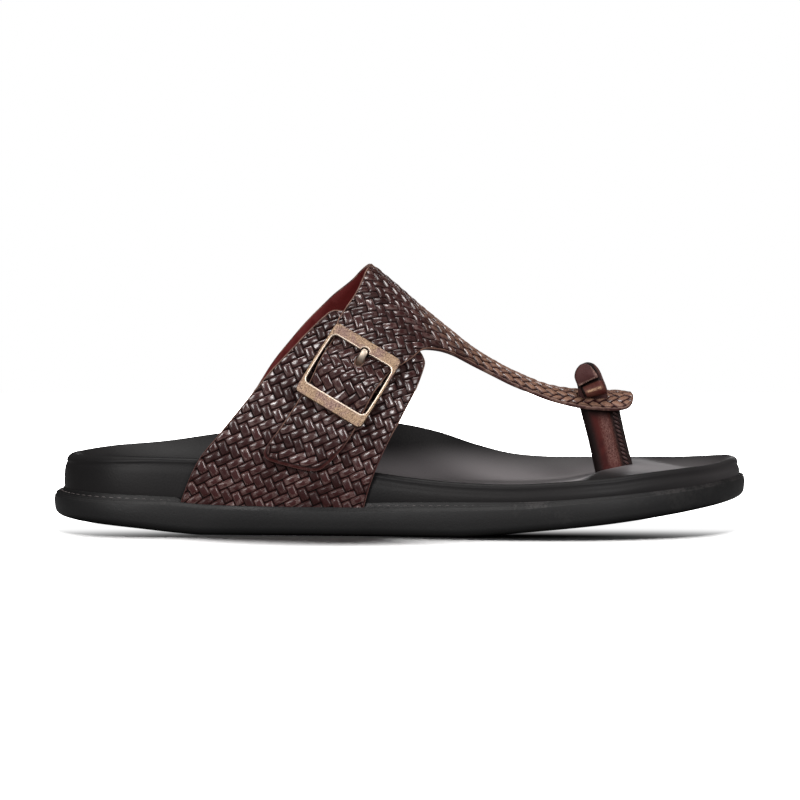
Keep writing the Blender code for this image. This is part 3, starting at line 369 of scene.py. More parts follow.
# underside at its edge, the rim's top outside and at the footbed, and the rim's width
soleHeights = table(
    "x bottom rimOuter rimInner rimWidth",
    (-140, 5.6, 14.2, 17.0, 4.2), (-130, 4.4, 13.4, 16.4, 4.2), (-118, 3.4, 12.8, 16.0, 4.2),
    (-104, 2.2, 12.6, 15.6, 4.2), (-90, 0.8, 12.3, 15.0, 4.2), (-80, 0.0, 11.4, 14.2, 4.2),
    (-55, 0.0, 10.5, 13.4, 4.2), (-16, 0.0, 10.3, 13.4, 4.2), (22, 0.0, 11.2, 14.0, 3.9),
    (34, 0.8, 11.6, 14.1, 3.7), (50, 2.3, 12.3, 14.4, 3.4), (66, 3.6, 13.7, 15.1, 3.1),
    (82, 5.0, 15.0, 16.2, 2.9), (100, 7.0, 16.5, 17.6, 2.7), (118, 9.2, 18.2, 19.1, 2.6),
    (132, 10.9, 19.8, 20.5, 2.5), (140, 12.2, 20.6, 21.1, 2.4),
)
planSteps = 240  # points along each side of the outline


def planSides(steps):
    ring = through(np.column_stack([soleOutline["x"], soleOutline["y"]]), 0.4, closed=True)[:-1]
    heel, toe = ring[:, 0].argmin(), ring[:, 0].argmax()
    ring = np.roll(ring, -heel, axis=0)
    toe = (toe - heel) % len(ring)
    lateral = along(ring[: toe + 1], steps=steps)
    medial = along(np.vstack([ring[toe:], ring[:1]])[::-1], steps=steps)
    return lateral, medial


lateralLine, medialLine = planSides(planSteps)
planRing = np.vstack([lateralLine, medialLine[-2:0:-1]])
planOut = unit(
    np.column_stack([
        np.roll(planRing[:, 1], -1) - np.roll(planRing[:, 1], 1),
        np.roll(planRing[:, 0], 1) - np.roll(planRing[:, 0], -1),
    ])
)
medialShare = rise(planRing[:, 1], -14, 14)  # 0 on the lateral side, 1 on the medial one
ringX = planRing[:, 0]


def inset(distance):
    return planRing - planOut * np.reshape(distance, (-1, 1))


def soleEdge(x, side):
    line = lateralLine if side == "lateral" else medialLine
    return np.abs(np.interp(x, line[:, 0], line[:, 1]))


def stackRings(name, rings, materials, ringSlots):
    # a body from rings over the sole's outline, closed across at the first one
    count = len(planRing)
    strips = [(i, i + 1, (count - i - 1) % count, (count - i) % count) for i in range(planSteps)]
    faces, slots = [tuple(dict.fromkeys(strip)) for strip in strips], [0] * planSteps
    for k, slot in enumerate(ringSlots[:-1]):
        faces += ringFaces(k * count, (k + 1) * count, count)
        slots += [slot] * count
    return mergeAndTurnOut(makeMesh(name, np.vstack(rings), faces, materials, slots))


# outsole: tread side, rounded lower edge, upright side, ribbed rim with a stitched groove

outsole = {
    # the flat tread, the two rings further in that it is closed across, and the step up to the round edge
    "treadInset": 4.6, "treadRings": (9.0, 6.5), "treadStep": 0.15,
    "roundWidth": 3.4, "roundHeight": 3.6, "roundSteps": 8,
    "lipRadius": 0.55, "sideBelly": 0.18,
    "rimSteps": 46, "ribHeight": 0.15, "ribCount": 5.0, "ribFrom": 0.06, "ribTo": 0.52, "recess": 2.2,
    # where the upper goes in, the rim is lower: heel end and toe end on each side, how soft, and the drop
    "seatLateral": (-89.0, -14.2), "seatMedial": (-88.0, -14.4), "seatSoft": 1.5, "seatDrop": 1.1,
    "seatFrom": 0.3,
}
rimForm = table(
    "x lift",
    (0.0, -0.05), (0.10, 0.25), (0.22, 0.42), (0.33, 0.10), (0.44, 0.38), (0.53, 0.10), (0.60, -0.55),
    (0.76, -0.55), (0.82, 0.15), (0.90, 0.30), (1.0, 0.0),
)


def seatMask(x):
    low, high = (
        np.where(medialShare < 0.5, outsole["seatLateral"][k], outsole["seatMedial"][k]) for k in (0, 1)
    )
    return rise(x, low, low + outsole["seatSoft"]) * rise(x, high, high - outsole["seatSoft"])


def rimTop(share):
    # height of the rim's top at this share of its width from the outside in
    outer, inner = smooth(soleHeights, "rimOuter", ringX), smooth(soleHeights, "rimInner", ringX)
    ribbed = outsole["ribFrom"] < share < outsole["ribTo"]
    ribs = outsole["ribHeight"] * math.sin(4 * math.pi * outsole["ribCount"] * share) * ribbed
    seat = outsole["seatDrop"] * seatMask(ringX) * (share > outsole["seatFrom"])
    return outer + (inner - outer) * share + smooth(rimForm, "lift", share) + ribs - seat


def makeOutsole(rubber, tread, shadedRimRubber):
    bottom = np.maximum(0.0, smooth(soleHeights, "bottom", ringX))
    outer, inner = smooth(soleHeights, "rimOuter", ringX), smooth(soleHeights, "rimInner", ringX)
    width = smooth(soleHeights, "rimWidth", ringX)
    rings, slots = [], []

    def add(distance, height, slot=0):
        rings.append(np.column_stack([inset(distance), height]))
        slots.append(slot)

    for extra in (*outsole["treadRings"], 0.0):
        add(outsole["treadInset"] + extra, bottom, 1)
    for turn in np.linspace(0, math.pi / 2, outsole["roundSteps"] + 1):
        above = outsole["treadStep"] + outsole["roundHeight"] * (1 - math.cos(turn))
        add(outsole["roundWidth"] * (1 - math.sin(turn)), bottom + above)
    low, radius = bottom + outsole["treadStep"] + outsole["roundHeight"], outsole["lipRadius"]
    high = outer - radius - 0.1
    for share in (0.2, 0.4, 0.6, 0.8, 1.0):
        add(-outsole["sideBelly"] * math.sin(math.pi * share), low + (high - low) * share)
    # the top of the lip and the whole rim take the third look, a darker rubber that paints shade on what faces
    # up and in the stitched groove
    for turn in (22, 45, 68, 90):
        turned = math.radians(turn)
        add(radius * (1 - math.cos(turned)), high + radius * math.sin(turned) + 0.02, 2 if turn > 40 else 0)
    bed = width - 0.05
    for share in np.linspace(radius / 4, 1.0, outsole["rimSteps"]):
        add(bed * share, rimTop(share), 2)
    add(bed, inner - outsole["recess"], 2)
    settle(stackRings("outsoleBody", rings, [rubber, tread, shadedRimRubber], slots), "outsole", "outsole")


# threads of the seams: sides and rings of a bead, how thin its ends are, and how sharply
bead = {"sides": 8, "rings": 7, "thin": 0.86, "power": 3.2}
rimStitch = {
    "share": 0.69, "pitch": 3.4, "length": 2.9, "radius": 0.46, "lift": 0.10, "slant": 0.10, "bow": 0.08,
}


def stitches(name, starts, ends, ups, radius, bow, look):
    # one thread bead from each start to its end, arched over the middle
    verts, faces = [], []
    for start, end, up in zip(starts, ends, ups):
        ahead = unit(end - start)
        side = unit(np.cross(ahead, up))
        over = np.cross(side, ahead)
        faces += tubeFaces(bead["rings"], bead["sides"], len(verts))
        for t in np.linspace(-0.98, 1.0, bead["rings"]):
            size = radius * (1 - abs(t) ** bead["power"] * bead["thin"])
            centre = (start + end) / 2 + (end - start) * t / 2 + over * bow * (1 - t * t)
            turns = circle(bead["sides"])
            verts += [centre + (side * math.cos(a) + over * math.sin(a)) * size for a in turns]
    return mergeAndTurnOut(makeMesh(name, verts, faces, [look]), 0.0001)


def makeRimStitches(thread):
    width = smooth(soleHeights, "rimWidth", ringX) - 0.05
    share = rimStitch["share"]
    line = np.column_stack([inset(width * share), rimTop(share) + rimStitch["lift"]])
    free = seatMask(ringX) < 0.02
    closed = np.column_stack([np.vstack([line, line[:1]]), np.append(free, free[0])])
    beads = along(closed, spacing=rimStitch["pitch"])
    starts, after = beads[:-1, :3], beads[1:, :3]
    ends = starts + (after - starts) * rimStitch["length"] / rimStitch["pitch"]
    out = unit(np.cross(after - starts, (0, 0, 1.0)))
    starts, ends = starts + out * rimStitch["slant"], ends - out * rimStitch["slant"]
    kept = (beads[:-1, 3] > 0.99) & (beads[1:, 3] > 0.99)
    ups, radius, bow = np.tile((0, 0, 1.0), (kept.sum(), 1)), rimStitch["radius"], rimStitch["bow"]
    settle(stitches("rimStitches", starts[kept], ends[kept], ups, radius, bow, thread), "outsole")


# footbed: leather-covered cup with a rolled rim

footbed = {
    "sink": 2.0, "wallLean": 0.05, "wallSteps": 12, "belly": 0.55, "waist": 0.45, "waistDrop": 3.1,
    "waistWidth": 1.1, "rollRadius": 1.9, "heelRoll": 3.3, "heelFrom": (-96.0, -122.0), "rollSteps": 10,
    "cupSteps": 46,
    # the toe-grip ridge runs back towards the lateral side, in full past the second x
    "toeSkew": 0.42, "skewFrom": (55.0, 85.0), "skewSide": 12.0, "spineEnds": (-98.0, 100.0),
}
footbedForm = table(
    "x rimLateral rimMedial floor reachLateral reachMedial",
    (-137, 30.5, 30.8, 27.0, 17, 17), (-122, 31.1, 32.0, 24.6, 17, 17), (-100, 30.8, 33.2, 22.8, 17, 18),
    (-74, 30.2, 36.6, 22.0, 17, 22), (-50, 29.2, 39.7, 21.6, 17, 26), (-25, 27.2, 41.8, 21.2, 17, 28),
    (0, 23.6, 40.0, 19.8, 16, 28), (14, 22.2, 36.6, 18.6, 15, 26), (29, 21.4, 31.5, 17.7, 14, 23),
    (44, 21.2, 27.4, 17.3, 14, 18), (60, 21.9, 25.7, 17.8, 14, 15), (74, 22.8, 25.5, 19.4, 13, 13),
    (86, 23.6, 25.6, 22.4, 12, 12), (96, 24.8, 25.7, 25.1, 12, 12), (106, 25.7, 25.9, 24.4, 12, 12),
    (118, 26.5, 26.3, 23.3, 12, 12), (128, 27.0, 27.1, 23.6, 12, 12), (138, 28.3, 28.3, 25.0, 12, 12),
)


def bedFloor(x, y):
    skew = rise(x, *footbed["skewFrom"]) * footbed["toeSkew"]
    return smooth(footbedForm, "floor", x + skew * np.maximum(0.0, footbed["skewSide"] - y))


def bedSpine():
    # the line along the cup's middle that its rings close on
    whole = (lateralLine + medialLine) / 2
    x = np.clip(whole[:, 0], *footbed["spineEnds"])
    middle = np.column_stack([x, np.interp(x, whole[:, 0], whole[:, 1])])
    return np.vstack([middle, middle[-2:0:-1]])


def makeFootbed(look):
    inner, width = smooth(soleHeights, "rimInner", ringX), smooth(soleHeights, "rimWidth", ringX)
    rim, reach = (
        smooth(footbedForm, name + "Lateral", ringX) * (1 - medialShare)
        + smooth(footbedForm, name + "Medial", ringX) * medialShare
        for name in ("rim", "reach")
    )
    heel = rise(ringX, *footbed["heelFrom"])
    roll = footbed["rollRadius"] + (footbed["heelRoll"] - footbed["rollRadius"]) * heel
    low, top = inner - footbed["sink"], rim - roll
    rings = [np.column_stack([inset(width + 0.4), low])]
    for share in np.linspace(0, 1, footbed["wallSteps"]) ** 0.8:
        z = low + (top - low) * share
        lean = footbed["wallLean"] * np.clip(z - inner, 0, None)
        belly = footbed["belly"] * math.sin(math.pi * share) ** 0.8
        waist = footbed["waist"] * np.exp(-(((rim - z - footbed["waistDrop"]) / footbed["waistWidth"]) ** 2))
        rings.append(np.column_stack([inset(width + lean - belly + waist), z]))
    wall = width + footbed["wallLean"] * (rim - inner)
    for turn in np.linspace(0, math.pi / 2, footbed["rollSteps"] + 1)[1:]:
        line = inset(wall + roll * (1 - math.cos(turn)))
        rings.append(np.column_stack([line, rim - roll * (1 - math.sin(turn))]))
    crest, spine = inset(wall + roll), bedSpine()
    for share in np.linspace(0, 1, footbed["cupSteps"])[1:] ** 1.35:
        points = crest + (spine - crest) * share
        away = np.linalg.norm(points - crest, axis=1)
        floor = bedFloor(*points.T)
        rings.append(np.column_stack([points, floor + (rim - floor) * np.clip(1 - away / reach, 0, 1) ** 2]))
    settle(stackRings("footbedCup", rings, [look], [0] * len(rings)), "footbed", "footbed")


# the form of the foot that the upper is lasted over: ridge, and the half widths at the front
lastForm = table(
    "x top ridgeY frontLateral frontMedial",
    (-95, 131, 0.0, 46, 36), (-60, 127, 1.5, 46, 35), (-35, 119, 2.5, 46, 34), (-20, 112, 3.5, 46, 33),
    (-12, 107.2, 4.5, 46, 33), (0, 97.6, 6.0, 45, 33), (10, 88.8, 7.5, 44, 33), (20, 80.7, 9.3, 42, 33),
    (29, 73.5, 11.5, 40, 33), (40, 66.6, 14.2, 38, 33), (50, 61.6, 16.4, 37, 33), (61, 57.4, 18.6, 37, 33),
    (72, 55.6, 20.6, 37, 33), (84, 55.2, 21.6, 37, 33), (98, 54.8, 22.0, 37, 33),
)
last = {"power": 2.25, "frontBlend": (-14.0, 30.0), "upperInset": 1.4, "rimChannel": 0.6}
leather = {
    "thickness": 2.2, "layerGap": 0.3, "relief": 0.95, "pitch": (3.56, 3.0), "weaveDegrees": 23.0,
    # the slant is true for the quarter's lower half, about this x
    "trueBelow": -35.0, "trueX": (-25.0, 30.0),
    # spacing of the sheet laid flat, of its edge and of its inner face, and steps across one strip
    "sheetSpacing": 5.0, "loopSpacing": 1.1, "loopSplit": 2, "backSpacing": 2.6,
    "cellSteps": (0.0, 0.05, 0.12, 0.24, 0.42, 0.58, 0.76, 0.88, 0.95),
    # how far out and how deep the rings of the cut edge lie
    "cutForm": ((0.10, 0.62), (0.20, 0.95), (0.22, 1.364), (0.12, 1.95), (0.0, 2.2)),
    # the weave sinks to this height at the edge, and the tab's lower end has a smooth border
    "edgeBlend": 0.55, "edgeLift": 0.34, "clearance": 0.22, "borderWidth": 1.7, "borderFrom": (37.0, 31.0),
    # how flat a strip lies across, how far its floats arch, and where they dive (weft, warp)
    "floatWidth": 0.98, "crownPower": 3.8, "crownSoft": 0.6, "arch": (0.86, 0.30), "diveFrom": (0.90, 0.70),
    "uneven": 0.26, "lowest": 0.86,
}
sheetStretch = np.array([1.0, 1.1])  # a degree round the last is about 1.1 mm
quarterDepth = leather["thickness"] + leather["layerGap"]


def lastPoint(x, t):
    # the outermost face: t in degrees, -90 at the lateral base, 0 on the ridge, 90 at the medial base
    x, t = np.asarray(x, dtype=float), np.asarray(t, dtype=float)
    ridge, top = smooth(lastForm, "ridgeY", x), smooth(lastForm, "top", x)
    base = smooth(soleHeights, "rimOuter", x) - last["rimChannel"]
    blend = rise(x, *last["frontBlend"])
    lateral = soleEdge(x, "lateral") - last["upperInset"] + quarterDepth + ridge
    medial = soleEdge(x, "medial") - last["upperInset"] - ridge
    lateral = lateral * (1 - blend) + smooth(lastForm, "frontLateral", x) * blend
    medial = medial * (1 - blend) + smooth(lastForm, "frontMedial", x) * blend
    turn = np.radians(np.clip(t, -90, 90))
    power = 2 / last["power"]
    out = np.abs(np.sin(turn)) ** power
    y = ridge + np.where(turn < 0, -lateral * out, medial * out)
    z = base + (top - base) * np.abs(np.cos(turn)) ** power
    return np.stack([x, y, z], axis=-1)


def lastNormal(x, t, reach=(0.4, 0.8)):
    x, t = np.asarray(x, dtype=float), np.asarray(t, dtype=float)
    ahead = lastPoint(x + reach[0], t) - lastPoint(x - reach[0], t)
    over = lastPoint(x, np.minimum(t + reach[1], 90)) - lastPoint(x, np.maximum(t - reach[1], -90))
    return unit(np.cross(ahead, over))


def fromSide(side, x, z, depth=0.0, seen=True):
    # (x, t) of the point this deep under the outer face that the camera sees at (x, z), or that is there
    sign = -1.0 if side == "lateral" else 1.0
    slope, away = math.tan(math.radians(view["downDegrees"])), view["distance"]
    if z is None:
        return (x * (1 + lastPoint(x, sign * 90)[1] / away), sign * 90)
    atX, atZ = x, z
    for _ in range(6):
        base = lastPoint(atX, 90)[2]
        share = np.clip((atZ - base) / (lastPoint(atX, 0)[2] - base), 0.0, 1.0)
        t = math.degrees(math.acos(share ** (last["power"] / 2))) * sign
        found = lastPoint(atX, t) - depth * lastNormal(atX, t)
        scale = 1 + (found[1] - slope * found[2]) / away if seen else 1.0
        atX += x * scale - found[0]
        atZ += z * scale - found[2]
    return (atX, t)


def fromAbove(x, y):
    ridge = lastPoint(x, 0)[1]
    sign = 1 if y > ridge else -1
    width = abs(lastPoint(x, sign * 90)[1] - ridge)
    return (x, sign * math.degrees(math.asin(min(1.0, abs(y - ridge) / width) ** (last["power"] / 2))))


def edgePoints(edge, depth=0.0):
    # an edge from its rows: over the top as (x, y), or on one side as the camera sees it, as (x, z)
    return [
        fromAbove(*row) if kind == "over" else fromSide(kind, *row, depth)
        for kind, rows in edge.items() for row in rows
    ]


# the buckle's plane: across the strap, along it and out of it
buckle = {
    "centre": (-20.5, 63.3), "slantDegrees": 30.5,
    "width": 30.2, "length": 31.8, "topBar": 4.6, "bottomBar": 5.1, "rail": 1.7,
    "thickness": 2.4, "corner": 1.8, "windowCorner": 2.0, "lift": -0.1, "outerBow": 0.15, "windowBow": 0.55,
    # bevels: width at the outer edge and in the window, height for their width, and the small one behind
    "bevels": (0.45, 0.55), "bevelSteps": 5, "bevelHeight": 0.75, "behindBevel": 0.3,
    # notch for the prong: half width, depth for it, and where the bevel narrows beside it
    "notch": 1.9, "notchDepth": 0.9, "notchBevel": (0.15, 1.5), "prongShift": 0.6, "barRadius": 0.75,
}
windowTop = buckle["length"] / 2 - buckle["topBar"]
windowLow = buckle["bottomBar"] - buckle["length"] / 2
barHeight = buckle["barRadius"] + leather["layerGap"] - quarterDepth
tab = {
    "halfWidth": 13.2, "lowWidths": (-12.0, 12.6), "underTop": 0.6, "holeHeight": 7.2, "hole": (3.3, 4.5),
    # how far it bulges over the centre bar, how far up and down, past its sides, and through the last
    "bulge": 2.8, "bulgeReach": 10.4, "bulgeSides": (6.0, 1.0), "bulgeDeep": 12.0,
}


def buckleAxes():
    at = fromSide("lateral", *buckle["centre"], seen=False)
    centre, out = Vector(lastPoint(*at)), Vector(lastNormal(*at))
    slant = math.radians(buckle["slantDegrees"])
    up = Vector((math.sin(slant), 0, math.cos(slant)))
    up = (up - out * up.dot(out)).normalized()
    return centre, up.cross(out).normalized(), up, out


axes = buckleAxes()


def bucklePoint(acrossStrap, upStrap):
    centre, right, up, _ = axes
    at = centre + right * acrossStrap + up * upStrap
    return fromSide("lateral", at.x, at.z, seen=False)


def tabBulge(points):
    # how far the tab rises over the buckle's centre bar
    centre, right, up, out = (np.array(a) for a in axes)
    offset = points - centre
    height = 0.5 + 0.5 * np.cos(np.pi * np.clip(offset @ up / tab["bulgeReach"], -1, 1))
    sides = rise(np.abs(offset @ right), *(tab["halfWidth"] + past for past in tab["bulgeSides"]))
    return tab["bulge"] * height * sides * (np.abs(offset @ out) < tab["bulgeDeep"])


def sheetPoint(at, depth, bulging):
    points, out = lastPoint(*at.T), lastNormal(*at.T)
    raised = tabBulge(points) if bulging else np.zeros(len(points))
    return points + out * (raised - depth)[:, None]


# flat sheets and their weave


def inside(points, loop):
    found = np.zeros(len(points), dtype=bool)
    for a, b in zip(loop, np.roll(loop, -1, axis=0)):
        crosses = (a[1] > points[:, 1]) != (b[1] > points[:, 1])
        climb = b[1] - a[1] if b[1] != a[1] else 1.0
        found ^= crosses & (points[:, 0] < a[0] + (points[:, 1] - a[1]) * (b[0] - a[0]) / climb)
    return found


def nearestEdge(points, loop):
    best = np.full(len(points), np.inf)
    for a, b in zip(loop, np.roll(loop, -1, axis=0)):
        t = np.clip((points - a) @ (b - a) / max(1e-9, (b - a) @ (b - a)), 0, 1)
        best = np.minimum(best, np.linalg.norm(points - a - t[:, None] * (b - a), axis=1))
    return best


def within(points, loops, clearance):
    # which points lie in the first loop, outside the others, and this far from all of them
    keep = inside(points, loops[0]) & (nearestEdge(points, loops[0]) > clearance)
    for hole in loops[1:]:
        keep &= ~inside(points, hole) & (nearestEdge(points, hole) > clearance)
    return keep


def loopDistance(points, loops, spacing=0.08):
    # distance of many points from the nearest loop, by points set close along the loops
    dots = np.vstack([along(np.vstack([loop, loop[:1]]), spacing=spacing)[:-1] for loop in loops])
    tree = KDTree(len(dots))
    for k, (x, y) in enumerate(dots):
        tree.insert((x, y, 0), k)
    tree.balance()
    return np.array([tree.find((x, y, 0))[2] for x, y in points])


def loopEdges(loops):
    edges, start = [], 0
    for loop in loops:
        edges += [(start + i, start + (i + 1) % len(loop)) for i in range(len(loop))]
        start += len(loop)
    return edges


def triangulate(points, edges, holes):
    made = delaunay_2d_cdt([Vector(p) for p in points], edges, [], 1, 1e-6)
    place = {k: old[0] for k, old in enumerate(made[3]) if old}
    faces = [tuple(place[i] for i in f) for f in made[2]]
    for hole in holes:
        centres = np.array([points[list(f)].mean(axis=0) for f in faces])
        faces = [f for f, cut in zip(faces, inside(centres, hole)) if not cut]
    return faces


def fill(loops, inner, clearance):
    # a triangulated sheet: loop points first, in order, then the inner points that fit
    points = np.vstack([*loops, inner[within(inner, loops, clearance)]])
    return points, triangulate(points, loopEdges(loops), loops[1:])


def staggered(loop, step):
    low, high = loop.min(axis=0), loop.max(axis=0)
    points = []
    for j, v in enumerate(np.arange(low[1], high[1], step * 0.87)):
        shift = step / 2 if j % 2 else 0.0
        points += [(u + shift, v) for u in np.arange(low[0], high[0], step)]
    return np.array(points)


def flattened(points3, faces):
    # the sheet laid flat with little stretch, in millimetres
    mesh = bpy.data.meshes.new("flat")
    mesh.from_pydata([Vector(p) for p in points3], [], faces)
    item = bpy.data.objects.new("flat", mesh)
    bpy.context.scene.collection.objects.link(item)
    bpy.context.view_layer.objects.active = item
    mesh.uv_layers.new(name="flat")
    bpy.ops.object.mode_set(mode="EDIT")
    bpy.ops.mesh.select_all(action="SELECT")
    bpy.ops.uv.unwrap(method="MINIMUM_STRETCH", margin=0)
    bpy.ops.object.mode_set(mode="OBJECT")
    flat = np.zeros((len(points3), 2))
    for corner in mesh.loops:
        flat[corner.vertex_index] = mesh.uv_layers[0].data[corner.index].uv
    bpy.data.objects.remove(item)
    bpy.data.meshes.remove(mesh)
    tri = np.array(faces)
    real, laid = (
        np.cross(points[tri[:, 1]] - points[tri[:, 0]], points[tri[:, 2]] - points[tri[:, 0]])
        for points in (points3, np.column_stack([flat, np.zeros(len(flat))]))
    )
    signed = laid[:, 2].sum()
    scale = math.sqrt(np.linalg.norm(real, axis=1).sum() / abs(signed))
    return flat * scale * (1 if signed > 0 else np.array([-1, 1]))


def turnedFlat(flat, points3, weight):
    # turned so that, where weight is high, its first axis runs along +X of the sandal
    centre, middle = (np.average(points, axis=0, weights=weight) for points in (flat, points3))
    ahead, up = (((flat - centre) * ((points3 - middle)[:, k] * weight)[:, None]).sum(axis=0) for k in (0, 2))
    turn = math.atan2(ahead[1] - up[0], ahead[0] + up[1])
    c, s = math.cos(-turn), math.sin(-turn)
    return (flat - centre) @ np.array([[c, s], [-s, c]])


def restingIn(points, flat, faces, at, close=1e-5):
    # (x, t) of flat points, from the triangles of the flat sheet in which they lie
    found = np.full((len(points), 2), np.nan)
    order = np.argsort(points[:, 0])
    xs = points[order, 0]
    for f in faces:
        a, b, c = (flat[i] for i in f)
        low, high = min(a[0], b[0], c[0]), max(a[0], b[0], c[0])
        first, end = np.searchsorted(xs, (low - 10 * close, high + 10 * close))
        chosen = order[first:end]
        ab, ac = b - a, c - a
        area = ab[0] * ac[1] - ab[1] * ac[0]
        offset = points[chosen] - a
        u = (offset[:, 0] * ac[1] - offset[:, 1] * ac[0]) / area
        v = (ab[0] * offset[:, 1] - ab[1] * offset[:, 0]) / area
        hit = (u >= -close) & (v >= -close) & (u + v <= 1 + close)
        moved = at[f[0]] + u[:, None] * (at[f[1]] - at[f[0]]) + v[:, None] * (at[f[2]] - at[f[0]])
        found[chosen[hit]] = moved[hit]
    return found


def scatter(i, j, seed):
    # a steady number from 0 to 1 for each strip's float
    value = np.sin(i * 12.9898 + j * 78.233 + seed * 37.719) * 43758.5453
    return value - np.floor(value)


def twill(u, v):
    # two over, two under: height from 0 to 1, place along and across the float, and the float's own number
    i, j = np.floor(u + 1e-6), np.floor(v + 1e-6)
    step = np.mod(i + j, 4).astype(int)
    weft = step < 2
    ahead = np.where(weft, u - i + (step == 1), v - j + (step == 3)) - 1
    across = np.where(weft, v - j, u - i) - 0.5
    own = np.where(step == 1, i - 1, i), np.where(step == 3, j - 1, j)
    crown = 1 - np.abs(across * 2 / leather["floatWidth"]) ** leather["crownPower"]
    crown = np.clip(crown, 0, 1) ** leather["crownSoft"]
    arch = 1 - np.where(weft, *leather["arch"]) * ahead**2
    dive = 1 - rise(np.abs(ahead), np.where(weft, *leather["diveFrom"]), 1.0)
    tilt = (scatter(*own, 5.0) - 0.5) * ahead + (scatter(*own, 3.0) - 0.5) * across
    height = crown * np.clip((arch + leather["uneven"] * tilt) * dive, 0, 1.1)
    height = height * (leather["lowest"] + (1 - leather["lowest"]) * scatter(*own, 9.0))
    return height, ahead, across, scatter(own[0], own[1] + 0.37 * weft, 1.0), weft


def sheetOutline(*parts):
    # one closed loop from edges that meet in corners
    loop = []
    for part in parts:
        scaled = np.array(part) * sheetStretch
        spread = through if len(part) > 2 else along
        loop += list(spread(scaled, leather["loopSpacing"])[:-1] / sheetStretch)
    return loop


def splitLoop(loop, parts):
    # the same loop with this many points for each that it had
    after = np.roll(loop, -1, axis=0)
    shares = np.arange(parts)[:, None] / parts
    return (loop[:, None] + (after - loop)[:, None] * shares).reshape(-1, loop.shape[1])


def loopOutward(loop, isHole):
    # the way out of the sheet at each point of a loop, in the (x, t) plane
    ahead = (np.roll(loop, -1, axis=0) - np.roll(loop, 1, axis=0)) * sheetStretch
    area = np.sum(loop[:, 0] * np.roll(loop[:, 1], -1) - np.roll(loop[:, 0], -1) * loop[:, 1])
    return unit(np.column_stack([ahead[:, 1], -ahead[:, 0]])) * (1 if (area > 0) != isHole else -1)


def layFlat(loops, depth, bulging):
    # the sheet's points as (x, t), its triangles, and the points laid flat
    spacing = leather["sheetSpacing"]
    scaled = [np.array(loop) * sheetStretch for loop in loops]
    domain, faces = fill(scaled, staggered(scaled[0], spacing), spacing * 0.3)
    at = domain / sheetStretch
    outer = sheetPoint(at, depth + leather["relief"] / 2, bulging)
    middle, reach = leather["trueX"]
    weight = np.where(at[:, 1] < leather["trueBelow"], 1.0, 1e-4)
    weight = weight * np.exp(-(((at[:, 0] - middle) / reach) ** 2))
    return at, faces, turnedFlat(flattened(outer, faces), outer, weight)


weaveTurn = math.radians(leather["weaveDegrees"])
weaveAxes = np.array([
    [math.cos(weaveTurn), -math.sin(weaveTurn)], [math.sin(weaveTurn), math.cos(weaveTurn)],
]) / leather["pitch"]  # turns flat millimetres into strips counted along the weft and the warp


def weaveFaces(flatLoops, flat, sheetFaces, at):
    # a lattice of the weave, closer near the strips' edges, where a whole quad fits, and the rim outside it
    local = flatLoops[0] @ weaveAxes
    us, vs = (
        (np.arange(math.floor(strips.min()), math.ceil(strips.max()))[:, None] + leather["cellSteps"]).ravel()
        for strips in local.T
    )
    points = np.stack(np.meshgrid(us, vs, indexing="ij"), axis=-1).reshape(-1, 2) @ np.linalg.inv(weaveAxes)
    resting = restingIn(points, flat, sheetFaces, at)
    kept = ~np.isnan(resting[:, 0])
    distance = np.zeros(len(kept))
    distance[kept] = loopDistance(points[kept], flatLoops)
    kept &= distance > leather["clearance"]
    grid = np.arange(len(kept)).reshape(len(us), len(vs))
    quads = np.stack([grid[:-1, :-1], grid[1:, :-1], grid[1:, 1:], grid[:-1, 1:]], axis=-1).reshape(-1, 4)
    whole = kept[quads].all(axis=1)
    quads = quads[whole]
    # the rim is triangulated from the loops, the quads' open sides and the kept points that no quad uses
    sides = np.sort(np.vstack([quads[:, [k, (k + 1) % 4]] for k in range(4)]), axis=1)
    single, times = np.unique(sides, axis=0, return_counts=True)
    border = single[times == 1]
    loose = kept.copy()
    loose[quads.ravel()] = False
    ring = np.concatenate([np.unique(border), np.flatnonzero(loose)])
    rimCount = sum(len(loop) for loop in flatLoops)
    index = np.full(len(kept), -1)
    index[ring] = rimCount + np.arange(len(ring))
    rimPoints = np.vstack([*flatLoops, points[ring]])
    edges = loopEdges(flatLoops) + [tuple(int(index[k]) for k in pair) for pair in border]
    rim = np.array(triangulate(rimPoints, edges, flatLoops[1:]))
    centres = rimPoints[rim].mean(axis=1) @ weaveAxes
    cellU, cellV = (
        np.clip(np.searchsorted(steps, middles) - 1, 0, len(steps) - 2)
        for steps, middles in ((us, centres[:, 0]), (vs, centres[:, 1]))
    )
    rim = rim[~whole[cellU * (len(vs) - 1) + cellV]]
    # the loops' points come first, then the lattice points in use
    final = np.full(len(kept), -1)
    final[kept] = rimCount + np.arange(kept.sum())
    rim = np.concatenate([np.arange(rimCount), final[ring]])[rim]
    faces = [tuple(f) for part in (final[quads], rim) for f in part]
    return faces, points[kept], resting[kept], distance[kept]


def cutEdge(atLoops, depth, bulging, start):
    # rings that round over to the inner face: their points and faces, and the last ring's start
    atRim = np.vstack(atLoops)
    past = np.vstack([
        loop + loopOutward(loop, k > 0) / sheetStretch * 0.25 for k, loop in enumerate(atLoops)
    ])
    outward = unit(sheetPoint(past, depth, bulging) - sheetPoint(atRim, depth, bulging))
    rings, faces, previous = [], [], 0
    for out, down in leather["cutForm"]:
        rings.append(sheetPoint(atRim, depth + down, bulging) + outward * out)
        first = 0
        for loop in atLoops:
            faces += ringFaces(previous + first, start + first, len(loop))
            first += len(loop)
        previous, start = start, start + len(atRim)
    return np.vstack(rings), faces, previous


